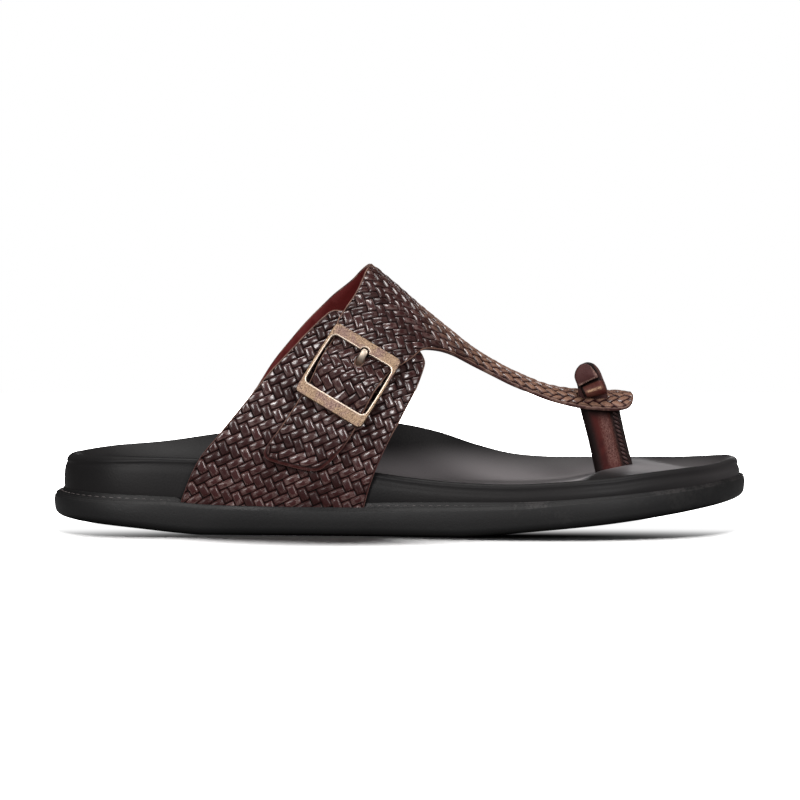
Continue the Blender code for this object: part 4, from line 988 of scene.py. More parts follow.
def wovenSheet(name, loops, depth, bulging, looks):
    # a lasted sheet of woven leather: outer face raised float by float, painted cut edge, lined inner face
    at, sheetFaces, flat = layFlat(loops, depth, bulging)
    lengths = np.cumsum([len(loop) for loop in loops])
    flatLoops, atLoops = (
        [splitLoop(part, leather["loopSplit"]) for part in np.split(points, lengths)[:-1]]
        for points in (flat, at)
    )
    faces, flatWoven, atWoven, distance = weaveFaces(flatLoops, flat, sheetFaces, at)
    atOuter = np.vstack([*atLoops, atWoven])
    rimCount = len(atOuter) - len(atWoven)
    height, alongFloat, acrossFloat, number, weft = twill(*(np.vstack([*flatLoops, flatWoven]) @ weaveAxes).T)
    distance = np.concatenate([np.zeros(rimCount), distance])
    fade = np.full(len(distance), leather["edgeBlend"])
    if bulging:
        fade += (leather["borderWidth"] - fade) * rise(lastPoint(*atOuter.T)[:, 2], *leather["borderFrom"])
    blend = ease(distance / fade)
    height = height * blend + leather["edgeLift"] * (1 - blend)
    outer = sheetPoint(atOuter, depth + leather["relief"] * (1 - height), bulging)
    edge, wall, lastRing = cutEdge(atLoops, depth, bulging, len(outer))
    # inner face
    domain, spacing = [loop * sheetStretch for loop in atLoops], leather["backSpacing"]
    back, backFaces = fill(domain, staggered(domain[0], spacing), spacing * 0.3)
    inner = sheetPoint(back[rimCount:] / sheetStretch, depth + leather["thickness"], bulging)
    verts = np.vstack([outer, edge, inner])
    place = np.concatenate([lastRing + np.arange(rimCount), np.arange(len(verts) - len(inner), len(verts))])
    lining = [tuple(place[list(reversed(f))]) for f in backFaces]
    slots = [0] * len(faces) + [1] * len(wall) + [2] * len(lining)

    def padded(values, rest):
        return np.concatenate([values, np.full(len(verts) - len(values), rest)])

    attributes = {
        "crest": padded(height, 0.3),
        "shade": padded(number, 0.5),
        "upward": padded(np.clip(lastNormal(*atOuter.T)[:, 2], 0, 1), 0.0),
        "rim": padded(1 - ease(distance / fade / 1.3), 1.0),
        "strip": np.column_stack([
            padded(alongFloat * 3.3 + number * 97, 0.0), padded(acrossFloat * 3.3, 0.0),
            padded(weft * 1.0, 0.0),
        ]),
    }
    sheet = makeMesh(name, verts, faces + wall + lining, looks, slots, attributes)
    print(name, "faces:", len(faces), len(wall), len(lining))
    return mergeAndTurnOut(sheet, 0.0002)


# edges of the lateral quarter as (x, z) in the photo's view, None for the lower edge
quarter = {"lateral": (
    (-90, None), (-82.4, 30), (-73.1, 41.8), (-64, 53),  # back
    (-55, 64.2), (-45, 75), (-38, 82.3), (-31, 88.8),
    (-28.5, 90.6), (-25.5, 91.2), (-18, 89.5), (-8, 84.5), (3, 78), (7.6, 74.8),  # top
    (9.6, 72.0), (10.1, 68.4), (6.6, 59.5), (0.6, 48.6), (-4.7, 39.2), (-11.2, 25), (-16, None),  # front
)}
# edges of the main piece: (x, z) in that view on either side, or (x, y) over its top
main = {
    "back": {
        "medial": (
            (-85, None), (-78.5, 25), (-69, 38), (-60.5, 50.5), (-51.4, 65.3), (-42.0, 77.2), (-28.6, 91.6),
            (-17.8, 101.5),
        ),
        "over": ((-12, 4.5),), "lateral": ((-16.5, 100.6), (-25.3, 87.6)),
    },
    "tabLeft": {"lateral": ((-44.5, 50.6), (-48.7, 44.3), (-53.2, 38.2))},
    "tabEnd": {"lateral": (
        (-55.4, 34.6), (-55.0, 32.0), (-51.6, 30.3), (-46, 28.7), (-40.5, 27.4), (-36, 26.7), (-32.6, 27.4),
        (-28.4, 30.8),
    )},
    "tabRight": {"lateral": ((-23.4, 36.6), (-19.4, 42.6))},
    "notch": {"lateral": ((0.8, 69.7), (5.2, 72.4), (9.6, 75.3))},
    "strapLateral": {"lateral": (
        (13.5, 75.2), (18.5, 74.0), (24.6, 71.2), (32.3, 66.8), (39.2, 63.1), (45.3, 59.9), (53.8, 56.2),
        (63.7, 52.5), (73.3, 50.2), (81.4, 49.4), (88.2, 49.2),
    )},
    "strapTip": {"over": ((92.2, 1.6), (94.2, 5.4), (94.8, 12), (94.0, 18.2), (91.2, 21.6))},
    "strapMedial": {"over": (
        (88, 22.6), (76, 22.4), (62, 21.6), (50, 20.8), (40, 20.8), (31, 22.6), (22.5, 25.8),
    )},
    "front": {"medial": (
        (13.5, 74.2), (7.0, 71.2), (2.4, 65.4), (-1.4, 57.6), (-6.6, 45), (-11.6, 29), (-15.5, None),
    )},
}
slit = {"centre": (78.2, 7.6), "size": (11.6, 4.0), "roundness": 0.6, "steps": 32}  # for the post's strip


def oval(centre, size, steps, power=1.0):
    turns = circle(steps)
    c, s = (np.sign(f) * np.abs(f) ** power for f in (np.cos(turns), np.sin(turns)))
    return [(centre[0] + size[0] / 2 * u, centre[1] + size[1] / 2 * v) for u, v in zip(c, s)]


def lowerEdge(front, back, t):
    return [(x, t) for x in np.linspace(front[0], back[0], 4)]


def makeQuarter(looks):
    edge = edgePoints(quarter, quarterDepth)
    loop = sheetOutline(edge, lowerEdge(edge[-1], edge[0], -90.0))
    sheet = wovenSheet("quarterWoven", [loop], quarterDepth, False, looks)
    settle(sheet, "lateral_quarter", "lateral_quarter")


def makeMain(looks):
    back, left, end, right, notch, lateral, tip, medial, front = (edgePoints(edge) for edge in main.values())
    half, (lowLeft, lowRight), high = tab["halfWidth"], tab["lowWidths"], windowTop - tab["underTop"]
    tabLeft = [bucklePoint(-half, high), bucklePoint(lowLeft, windowLow), *left]
    tabRight = [*right, bucklePoint(lowRight, windowLow), bucklePoint(half, high)]
    loop = sheetOutline(
        back,
        [back[-1], tabLeft[0]],
        tabLeft + end + tabRight,
        [tabRight[-1], notch[0]],
        notch + lateral[:1],
        lateral + tip + medial + front,
        lowerEdge(front[-1], back[0], 90.0),
    )
    slitLoop = [fromAbove(*p) for p in oval(slit["centre"], slit["size"], slit["steps"], slit["roundness"])]
    hole = [bucklePoint(*p) for p in oval((buckle["prongShift"], tab["holeHeight"]), tab["hole"], 20)]
    settle(wovenSheet("mainWoven", [loop, slitLoop, hole], 0.0, True, looks), "upper_main", "upper_main")


# buckle


def placeInBuckle(item):
    centre, right, up, out = axes
    turned = Matrix((right, up, out)).transposed().to_4x4()
    item.data.transform(Matrix.Translation(centre * toMetres) @ turned)
    return item


def roundedCorners(corners, radius, steps):
    # an outline with its corners rounded
    points, corners = [], np.array(corners, dtype=float)
    for before, here, after in zip(np.roll(corners, 1, axis=0), corners, np.roll(corners, -1, axis=0)):
        a, b = unit(before - here), unit(after - here)
        half = math.acos(np.clip(a @ b, -1, 1)) / 2
        reach = radius / math.tan(half)
        centre = here + unit(a + b) * radius / math.sin(half)
        start, end = (math.atan2(*(here + side * reach - centre)[::-1]) for side in (a, b))
        sweep = (end - start + math.pi) % (2 * math.pi) - math.pi
        for turn in np.linspace(start, start + sweep, steps + 1):
            points.append(centre + radius * np.array([math.cos(turn), math.sin(turn)]))
    return np.array(points)


def rectangle(right, top, bottom):
    return [(right, top), (-right, top), (-right, bottom), (right, bottom)]


def grown(loop, distance):
    # the same loop moved out to its right side
    ahead = unit(np.roll(loop, -1, axis=0) - np.roll(loop, 1, axis=0))
    return loop + np.column_stack([ahead[:, 1], -ahead[:, 0]]) * distance


def bevelledPlate(name, loops, bevels, low, high, looks):
    # a plate with a window: faces, walls and rounded bevels, where the window's takes the second look, rubbed
    # brass with a painted highlight
    verts, faces, slots, caps = [], [], [], {}
    for number, (loop, bevel) in enumerate(zip(loops, bevels)):
        count = len(loop)
        inward = np.full((count, 1), -1.0)
        if number:
            # narrow at the two corners of the notch
            notch = (buckle["prongShift"] + side * buckle["notch"] for side in (-1, 1))
            corners = np.array([(x, windowTop) for x in notch])
            near = np.linalg.norm(loop[:, None] - corners, axis=2).min(axis=1)
            least, reach = buckle["notchBevel"]
            inward = least + (1 - least) * rise(near, 0, reach)[:, None]
        profile = []
        for turn in np.linspace(0, math.pi / 2, buckle["bevelSteps"] + 1):
            down = bevel * buckle["bevelHeight"] * (1 - math.cos(turn))
            profile.append((bevel * (1 - math.sin(turn)), high - down))
        profile += [(0.0, low + buckle["behindBevel"]), (buckle["behindBevel"], low)]
        for k, (reach, z) in enumerate(profile):
            start = sum(len(v) for v in verts)
            if k:
                faces += ringFaces(start - count, start, count)
                slots += [1 if number and k <= buckle["bevelSteps"] else 0] * count
            if k in (0, len(profile) - 1):
                caps.setdefault(k == 0, []).append((start, count))
            verts.append(np.column_stack([grown(loop, inward * reach), np.full(count, z)]))
    verts = np.vstack(verts)
    for spans in caps.values():
        where = np.concatenate([np.arange(start, start + count) for start, count in spans])
        rings = [verts[start : start + count, :2] for start, count in spans]
        flat = triangulate(np.vstack(rings), loopEdges(rings), rings[1:])
        faces += [tuple(where[list(f)]) for f in flat]
        slots += [0] * len(flat)
    return mergeAndTurnOut(makeMesh(name, verts, faces, looks, slots))


def bowedRails(loop, reach, bow):
    # the same outline, its sides swelled outward halfway along the rails
    x, y = loop.T
    swell = bow * np.clip(1 - (y / reach) ** 2, 0, 1)
    return np.column_stack([x + np.sign(x) * swell * (np.abs(x) > reach * 0.5), y])


def refined(loop, spacing):
    # more points on the long straight sides
    points = []
    for a, b in zip(loop, np.roll(loop, -1, axis=0)):
        parts = max(1, round(np.linalg.norm(b - a) / spacing))
        points += [a + (b - a) * k / parts for k in range(parts)]
    return np.array(points)


def makeBuckle(looks):
    half, long, rail = buckle["width"] / 2, buckle["length"] / 2, buckle["rail"]
    outer = roundedCorners(rectangle(half, long, -long), buckle["corner"], 7)
    window = roundedCorners(rectangle(half - rail, windowTop, windowLow), buckle["windowCorner"], 6)
    # the notch for the prong in the upper edge of the window
    wide, deep = buckle["notch"], buckle["notchDepth"] * buckle["notch"]
    notch = [
        (buckle["prongShift"] + wide * math.cos(a), windowTop + deep * math.sin(a))
        for a in np.linspace(0, math.pi, 15)
    ]
    first = np.flatnonzero((window[:, 1] > windowTop - 1e-6) & (window[:, 0] > 0))[-1]
    window = np.vstack([window[: first + 1], notch, window[first + 1 :]])
    outer = bowedRails(refined(outer, 1.0), long, buckle["outerBow"])
    window = bowedRails(refined(window, 1.0), long, buckle["windowBow"])
    low, high = buckle["lift"], buckle["lift"] + buckle["thickness"]
    plate = bevelledPlate("buckleFrame", [outer, window], buckle["bevels"], low, high, looks[:2])
    settle(placeInBuckle(plate), "buckle_frame", "buckle_frame")
    # hidden centre bar with its two cheeks under the rails, in brass darkened to painted shade
    verts, faces, radius = [], [], buckle["barRadius"]
    for x in (0.42 * rail - half, half - 0.42 * rail):
        faces += tubeFaces(2, 4, len(verts))
        xs, ys = (x - rail * 0.28, x + rail * 0.28), (windowLow + 1.0, windowTop - 1.0)
        for z in (barHeight - radius * 0.6, low + 0.8):
            verts += [(xs[0], ys[0], z), (xs[1], ys[0], z), (xs[1], ys[1], z), (xs[0], ys[1], z)]
    faces += tubeFaces(2, 20, len(verts))
    for x in (rail / 2 - half, half - rail / 2):
        verts += [(x, radius * math.cos(a), barHeight + radius * math.sin(a)) for a in circle(20)]
    bar = mergeAndTurnOut(makeMesh("buckleBar", verts, faces, looks[2:]), sharpDegrees=40)
    settle(placeInBuckle(bar), "buckle_frame")


prong = {
    "width": 2.8, "thickness": 0.8, "play": 0.2, "hookDegrees": (185, 30), "sectionSteps": 20,
    # its section: how square it is each way, and how far it is thick to the front and to the back
    "squareness": (0.55, 0.75), "front": 0.72, "behind": 0.45, "bluntFrom": 0.93, "blunt": 0.30,
    # past its hook, along the strap and out of it
    "path": (
        (3.0, -1.35), (4.5, -1.75), (5.6, -1.65), (6.6, -0.9), (7.6, 0.2), (8.6, 1.0),
        (windowTop - 1.4, 1.55), (windowTop, 1.8), (windowTop + 1.05, 1.75),
    ),
}


def makeProng(look):
    hook = buckle["barRadius"] + prong["play"] + prong["thickness"] / 2
    turns = np.radians(np.linspace(*prong["hookDegrees"], 8))
    hooked = [(hook * math.cos(a), barHeight + hook * math.sin(a)) for a in turns]
    path = through([*hooked, *prong["path"]], 0.35)
    ahead = unit(np.gradient(path, axis=0))
    side = np.column_stack([-ahead[:, 1], ahead[:, 0]])
    steps, (square, flatness) = prong["sectionSteps"], prong["squareness"]
    c, s = np.cos(circle(steps)), np.sin(circle(steps))
    thick = np.where(s > 0, prong["front"], prong["behind"]) * prong["thickness"]
    width = np.sign(c) * np.abs(c) ** square * prong["width"] / 2
    height = np.sign(s) * np.abs(s) ** flatness * thick
    verts = []
    for point, out, where in zip(path, side, np.linspace(0, 1, len(path))):
        blunt = 1 - prong["blunt"] * rise(where, prong["bluntFrom"], 1)
        for w, h in zip(width, height):
            verts.append((buckle["prongShift"] + w * blunt, *(point + out * h * blunt)))
    item = mergeAndTurnOut(makeMesh("buckleProng", verts, tubeFaces(len(path), steps), [look]))
    settle(placeInBuckle(item), "buckle_prong", "buckle_prong")


# toe post, and the strip that comes up through the slit and folds over a roll

post = {
    "foot": (87.5, 9.4), "head": (80.7, 9.4), "length": 15.2, "width": 7.0, "sink": 2.0, "room": 0.4,
    "rings": 30, "headSpread": 0.155, "footSwell": 0.05, "waist": 0.03,
    # half its section, along and across, from the heel side to the end of the flange
    "section": (
        (-0.5, 0.0), (-0.44, 0.30), (-0.28, 0.47), (-0.05, 0.5), (0.14, 0.40), (0.27, 0.17), (0.34, 0.20),
        (0.5, 0.17),
    ),
    # painted shade, near black, at the section's ends, the foot and the head: where it starts, is full, and
    # how dark
    "shadeHeel": (-0.10, -0.44, 0.95), "shadeFlange": (0.17, 0.24, 0.8),
    "shadeFoot": (0.10, 0.01, 0.9), "shadeHead": (0.66, 1.0, 0.95),
    # rubbed pale about this place on the outer side: how wide, and from where to where up the post
    "rubbedAt": 0.07, "rubbed": (0.23, 0.09), "rubbedFoot": (0.04, 0.18), "rubbedHead": (0.90, 0.68),
    # whipped seam down the flange
    "stitches": 14, "stitchShares": (0.13, 0.93), "stitchRadius": 0.42, "stitchBow": 0.25,
    "stitchFrom": (4.4, 1.45), "stitchTo": (7.0, 1.25), "stitchDrop": 1.7,
}
knot = {
    # where its own axes start: along its width, up, and out towards the lateral side
    "origin": (78.3, 8.1, 53.2), "leanDegrees": 25.0,
    # outlines across and up of the flap in front and of the strip behind it
    "flap": (
        (-3.9, 6.6), (-4.0, 8.2), (-3.7, 10.2), (-2.4, 12.1), (-0.4, 13.4), (1.4, 13.7), (3.0, 13.0),
        (3.9, 11.8), (4.4, 10.0), (4.8, 8.4), (4.9, 6.7), (4.3, 6.3), (1.0, 6.45), (-3.3, 6.2),
    ),
    "strip": (
        (-3.9, 7.4), (-3.2, 10.4), (-1.6, 12.4), (0.5, 13.3), (2.6, 13.5), (4.2, 12.9), (5.7, 11.5),
        (6.55, 9.3), (6.75, 7.2), (6.6, 4.7), (6.3, 0.3), (5.0, -2.8), (3.6, -4.6), (0.0, -3.2),
        (-3.4, -1.6), (-5.1, 1.2), (-4.9, 3.4), (-4.2, 5.8),
    ),
    # from and to outwards, roundness of the edge, and bulge of the face
    "flapForm": ((1.2, 8.7), 0.9, 0.4), "stripForm": ((-1.0, 1.5), 0.6, 0.1), "roundSteps": 6, "faceSteps": 7,
    # the flap's cut edge is pale in front, along its toe side below its top, and at its lower end
    "cutFront": (6.3, 7.3), "cutSide": (3.6, 4.1), "cutTop": (12.6, 11.8), "cutEnd": (7.3, 6.8),
    # painted shade on the flap's back, away from the lateral side
    "shadeBehind": (7.4, 4.9), "shadeShare": 0.9,
    # the strip has painted shade beside the flap and lighter painted shade elsewhere, and is a little pale at
    # its own toe side
    "besideSide": (5.6, 5.1), "besideUp": (4.0, 6.0), "besideLeast": 0.3, "stripPale": (5.5, 6.1),
    "paleShare": 0.25,
}
roll = {
    "radius": 3.3, "flare": 0.17, "from": -3.5, "to": 5.7, "up": 2.75, "out": 5.3, "steps": 56, "rings": 30,
    "endSize": 0.70, "endPower": 7, "waist": 0.03,
    # painted shade at its heel end and painted shadow on its top under the flap, with a painted highlight
    # streak along its front
    "shadeEnd": (-0.70, -0.90), "shadowTop": (0.55, 0.90),
    "highlightAt": -0.06, "streak": (0.24, 0.04), "highlightHeel": (-0.80, -0.50), "highlightToe": (0.86, 0.56),
}


def strapUnder(x, y):
    at = fromAbove(x, y)
    return float((lastPoint(*at) - leather["thickness"] * lastNormal(*at))[2])


def postSection():
    rows = np.array(post["section"]) * (post["length"], post["width"])
    return through(np.vstack([rows, (rows * (1, -1))[:0:-1]]), 0.45, closed=True)[:-1]


def postPoint(share, dx, dy):
    foot, head = np.array(post["foot"]), np.array(post["head"])
    swell = 1 + post["footSwell"] * (1 - share) ** 3 - post["waist"] * math.sin(math.pi * share)
    spread = 1 + post["headSpread"] * share * (dx < 0)
    x, y = foot + (head - foot) * share + (dx * swell * spread, dy * swell)
    low = bedFloor(*foot) - post["sink"]
    return np.array([x, y, low + (strapUnder(x, y) - post["room"] - low) * share])


def makePost(look, thread):
    section, shares = postSection(), np.linspace(0, 1, post["rings"])
    verts = [postPoint(share, dx, dy) for share in shares for dx, dy in section]
    place = section[:, 0] / post["length"]

    def darkest(values, names):
        rows = (post[name] for name in names)
        return np.maximum(*(rise(values, start, full) * dark for start, full, dark in rows))

    # painted shade on the post's two sides, its foot and its head
    sides, ends = darkest(place, ("shadeHeel", "shadeFlange")), darkest(shares, ("shadeFoot", "shadeHead"))
    outer = rise(np.abs(place - post["rubbedAt"]), *post["rubbed"]) * (section[:, 1] < 0)
    middle = rise(shares, *post["rubbedFoot"]) * rise(shares, *post["rubbedHead"])
    attributes = {"edge": np.maximum(sides, ends[:, None]).ravel(), "pale": (outer * middle[:, None]).ravel()}
    item = makeMesh("postTube", verts, tubeFaces(post["rings"], len(section)), [look], attributes=attributes)
    settle(mergeAndTurnOut(item, sharpDegrees=60), "toe_post", "toe_post")
    # the seam shows on both sides of the flange
    starts, ends, ups = [], [], []
    for side in (-1.0, 1.0):
        for share in np.linspace(*post["stitchShares"], post["stitches"]):
            starts.append(postPoint(share, post["stitchFrom"][0], side * post["stitchFrom"][1]))
            end = postPoint(share, post["stitchTo"][0], side * post["stitchTo"][1])
            ends.append(end - (0, 0, post["stitchDrop"]))
            ups.append((0, side, 0))
    radius, bow = post["stitchRadius"], post["stitchBow"]
    settle(stitches("postSeam", starts, ends, ups, radius, bow, thread), "toe_post")


def knotPoints(across, up, out):
    lean = math.radians(knot["leanDegrees"])
    c, s = math.cos(lean), math.sin(lean)
    across, up, out = np.broadcast_arrays(*(np.asarray(v, dtype=float) for v in (across, up, out)))
    return np.array(knot["origin"]) + np.stack([across * c - up * s, -out, across * s + up * c], axis=-1)


def pillow(outline, form):
    # a thick piece of leather with this outline and rounded edges: its points, its faces, and its flat places
    (low, high), edgeRound, bulge = form
    ring = through(outline, 0.35, closed=True)[:-1]
    centre = (ring.max(axis=0) + ring.min(axis=0)) / 2
    size = np.linalg.norm(ring - centre, axis=1, keepdims=True)
    turns = np.linspace(0, math.pi / 2, knot["roundSteps"] + 1)
    rows = [(share, 0.0, low) for share in np.linspace(0.06, 1, knot["faceSteps"])]
    rows += [(1.0, math.sin(turn), low + edgeRound * (1 - math.cos(turn))) for turn in turns[1:]]
    rows += [(1.0, math.sin(turn), high - edgeRound * (1 - math.cos(turn))) for turn in turns[:0:-1]]
    rows += [(share, 0.0, high + bulge * (1 - share**2)) for share in np.linspace(1, 0.06, knot["faceSteps"])]
    places = []
    for share, out, z in rows:
        at = centre + (ring - centre) * (1 - edgeRound * (1 - out) / size) * share
        places.append(np.column_stack([at, np.full(len(ring), z)]))
    places = np.vstack(places)
    return knotPoints(*places.T), tubeFaces(len(rows), len(ring)), places


def makeKnot(look):
    flap, strip = pillow(knot["flap"], knot["flapForm"]), pillow(knot["strip"], knot["stripForm"])
    verts = np.vstack([flap[0], strip[0]])
    faces = flap[1] + [tuple(i + len(flap[0]) for i in f) for f in strip[1]]
    across, up, out = flap[2].T
    side = rise(across, *knot["cutSide"]) * rise(up, *knot["cutTop"])
    cut = np.maximum(side, rise(up, *knot["cutEnd"])) * rise(out, *knot["cutFront"])
    # painted shade on the flap's back, and on the strip beside the flap
    paintedShade = rise(out, *knot["shadeBehind"]) * knot["shadeShare"]
    across, up, out = strip[2].T
    beside = np.maximum(rise(across, *knot["besideSide"]) * rise(up, *knot["besideUp"]), knot["besideLeast"])
    pale = rise(across, *knot["stripPale"]) * knot["paleShare"]
    attributes = {"edge": np.concatenate([paintedShade, beside]), "pale": np.concatenate([cut, pale])}
    settle(mergeAndTurnOut(makeMesh("knotStrip", verts, faces, [look], attributes=attributes)), "toe_post")


def makeRoll(look):
    # a rolled strip with rounded ends
    radius, c, s = roll["radius"], np.cos(circle(roll["steps"])), np.sin(circle(roll["steps"]))
    verts, edge, pale = [], [], []
    for share in np.linspace(-1, 1, roll["rings"]):
        full = roll["endSize"] + (1 - roll["endSize"]) * (1 - abs(share) ** roll["endPower"]) ** 0.5
        size, flare = radius * full * (1 - roll["waist"] * share**2), roll["flare"] * share
        across = (roll["from"] + roll["to"]) / 2 + (roll["to"] - roll["from"]) / 2 * share
        up = roll["up"] - radius * flare + size * (1 + flare) * s
        verts.append(knotPoints(across, up, roll["out"] + size * c))
        # painted shade at the heel end and painted shadow on top; a painted highlight streak along the front
        edge.append(np.maximum(rise(share, *roll["shadeEnd"]), rise(s, *roll["shadowTop"])))
        lit = rise(share, *roll["highlightHeel"]) * rise(share, *roll["highlightToe"])
        pale.append(rise(np.abs(s - roll["highlightAt"]), *roll["streak"]) * (c > 0) * lit)
    faces = tubeFaces(roll["rings"], roll["steps"])
    attributes = {"edge": np.concatenate(edge), "pale": np.concatenate(pale)}
    item = makeMesh("knotRoll", np.vstack(verts), faces, [look], attributes=attributes)
    settle(mergeAndTurnOut(item, sharpDegrees=50), "loop_roll", "loop_roll")


# shader groups that several finishes share


def makeLeatherGrain():
    # pebbled skin: Height for a bump, Tone for slow changes of colour
    group, given, out = shaderGroup(
        "leatherGrain", {"Vector": None, "Scale": 1600.0, "Patch Scale": 40.0}, ("Height", "Tone"),
    )
    inputs = {"Vector": given["Vector"], "Scale": given["Scale"], "Smoothness": 0.45}
    cells = addNode(group, "TexVoronoi", inputs, feature="SMOOTH_F1").outputs["Distance"]
    fine = noise(group, given["Vector"], product(group, given["Scale"], 2.1), 2.0)
    domes = reckon(group, "MULTIPLY_ADD", cells, -0.8)  # the node's third value adds 0.5
    plug(group, out, {
        "Height": reckon(group, "ADD", product(group, fine, 0.35), domes),
        "Tone": noise(group, given["Vector"], given["Patch Scale"], 3.0, 0.6),
    })
    return group


def makeStripGrain():
    # scratches and fibres that run along a strip, from its own coordinates
    group, given, out = shaderGroup(
        "stripGrain", {"Strip": None, "Long": 0.30, "Fine": 3.4}, ("Streak", "Height"),
    )
    parts = addNode(group, "SeparateXYZ", {0: given["Strip"]}).outputs
    scales = (given["Long"], given["Fine"], 7.3)
    scaled = {k: product(group, parts[k], scale) for k, scale in enumerate(scales)}
    laid = addNode(group, "CombineXYZ", scaled).outputs[0]
    streaks = noise(group, laid, 1.0, 3.0, 0.62, 0.3)
    plug(group, out, {"Streak": remap(group, streaks, 0.36, 0.66), "Height": streaks})
    return group


def makeEdgeWear():
    # where a surface has rubbed through: a mask broken up by fine noise
    group, given, out = shaderGroup(
        "edgeWear", {"Vector": None, "Mask": 0.0, "Amount": 0.5, "Scale": 900.0}, ("Wear",),
    )
    broken = product(group, noise(group, given["Vector"], given["Scale"], 3.0, 0.65), given["Mask"], 2.0)
    less = reckon(group, "SUBTRACT", 1.0, given["Amount"])
    start, full = product(group, less, 0.8), reckon(group, "ADD", less, 0.25)
    plug(group, out, {"Wear": remap(group, broken, start, full)})
    return group


def makePaintedSheen():
    # painted sheen: a patchy pale film on what faces up
    group, given, out = shaderGroup(
        "paintedSheenFilm", {"Vector": None, "Upward": 0.0, "Start": 0.5, "Full": 0.9, "Scale": 220.0}, ("Sheen",),
    )
    patchy = reckon(group, "SUBTRACT", noise(group, given["Vector"], given["Scale"], 4.0, 0.6), 0.5)
    level = reckon(group, "ADD", given["Upward"], product(group, patchy, 0.35))
    plug(group, out, {"Sheen": remap(group, level, given["Start"], given["Full"])})
    return group


leatherGrain, stripGrain = makeLeatherGrain(), makeStripGrain()
edgeWear, paintedSheenFilm = makeEdgeWear(), makePaintedSheen()


def grained(tree, at, finish):
    pebbles, patches = finish["grain"]
    return useGroup(tree, leatherGrain, {"Vector": at, "Scale": pebbles, "Patch Scale": patches})


def worn(tree, at, mask, finish):
    amount, scale = finish["wear"]
    return useGroup(tree, edgeWear, {"Vector": at, "Mask": mask, "Amount": amount, "Scale": scale})["Wear"]


def dress(tree, shader, finish, tone, rough, height, below=None):
    # colour and roughness, the finish's own gloss, and its last bump
    plug(tree, shader, {"Base Color": tone, "Roughness": rough, "Specular IOR Level": finish["gloss"]})
    bumped(tree, shader, height, *finish["bump"], below)


# finishes: colours are linear, a bump is depth in metres and strength, grain is pebbles and patches a metre

wovenFinish = {
    # the first colour is painted shade, laid in the grooves between the floats
    "grooveShade": (0.0012, 0.0006, 0.0006), "body": (0.0270, 0.0082, 0.0078), "red": (0.0290, 0.0078, 0.0076),
    # the tan is the colour of a painted sheen, and worn is rubbed wear that also paints a highlight
    "worn": (0.30, 0.22, 0.20), "tan": (0.225, 0.126, 0.086),
    # the cut edge: pale line high up, painted lower down, and the dark line beside it
    "rimPale": (0.135, 0.076, 0.056), "rimPaint": (0.034, 0.009, 0.008), "rimDark": (0.007, 0.0035, 0.0035),
    "gloss": 0.08, "coatRough": 0.19, "coatBend": 1.92, "rough": (0.65, 0.32), "roughSheen": 0.30,
    "roughLow": 0.10, "roughStreak": (0.10, -0.04),
    "grain": (2600.0, 55.0), "bump": (0.00006, 0.45), "streakBump": (0.00016, 0.7), "streaks": (0.35, 3.2),
    # from the least to the most of it, float by float: tone, share of rubbed wear with a painted highlight,
    # and polish
    "floatTone": (0.60, 1.35), "floatWearHighlight": (0.08, 0.34), "floatPolish": (0.34, 1.0), "wear": (0.50, 900.0),
    # heights where it turns redder and where the cut edge turns pale
    "lowRed": (0.050, 0.028), "lowShare": 0.8, "redPatches": (0.42, 0.70), "palerFrom": (0.034, 0.046),
    # masks from a float's own height for rubbed wear with a painted highlight, and the line and face of the
    # cut edge: start, full, and their values
    "wearHighlightUp": (0.25, 0.55), "wearHighlightDown": (0.95, 0.75), "wearHighlightFloats": (0.2, 0.95),
    "edgeLine": (0.10, 0.40, 0.0, 0.8), "edgeFace": (0.45, 0.75),
    # where the painted shade in the grooves starts and ends, without the painted sheen and with it
    "grooveShadeFrom": (0.04, 0.14), "grooveShadeTo": (0.30, 0.58), "sheenWidensShade": (0.0, 0.6),
    # polish by a float's height, painted sheen, nearness of the edge, streaks, and height on the sandal
    "polishCrest": (0.10, 0.40), "polishSheen": (0.0, 0.7, 1.0, 0.05), "polishRim": (0.05, 0.45, 1.0, 0.0),
    "polishStreak": (0.0, 1.0, 0.35, 1.0), "polishHeight": (0.012, 0.056, 0.16, 1.0),
    # painted sheen: from the instep to the strap, how far up a surface looks where it starts and where it is
    # full
    "sheenAhead": (-0.006, 0.026), "sheenStart": (0.72, 0.48), "sheenFull": (0.95, 0.84), "sheenScale": 240.0,
    "sheenCrest": (0.35, 0.85, 0.0, 0.9), "sheenStreak": (0.0, 1.0, 0.55, 1.0),
}


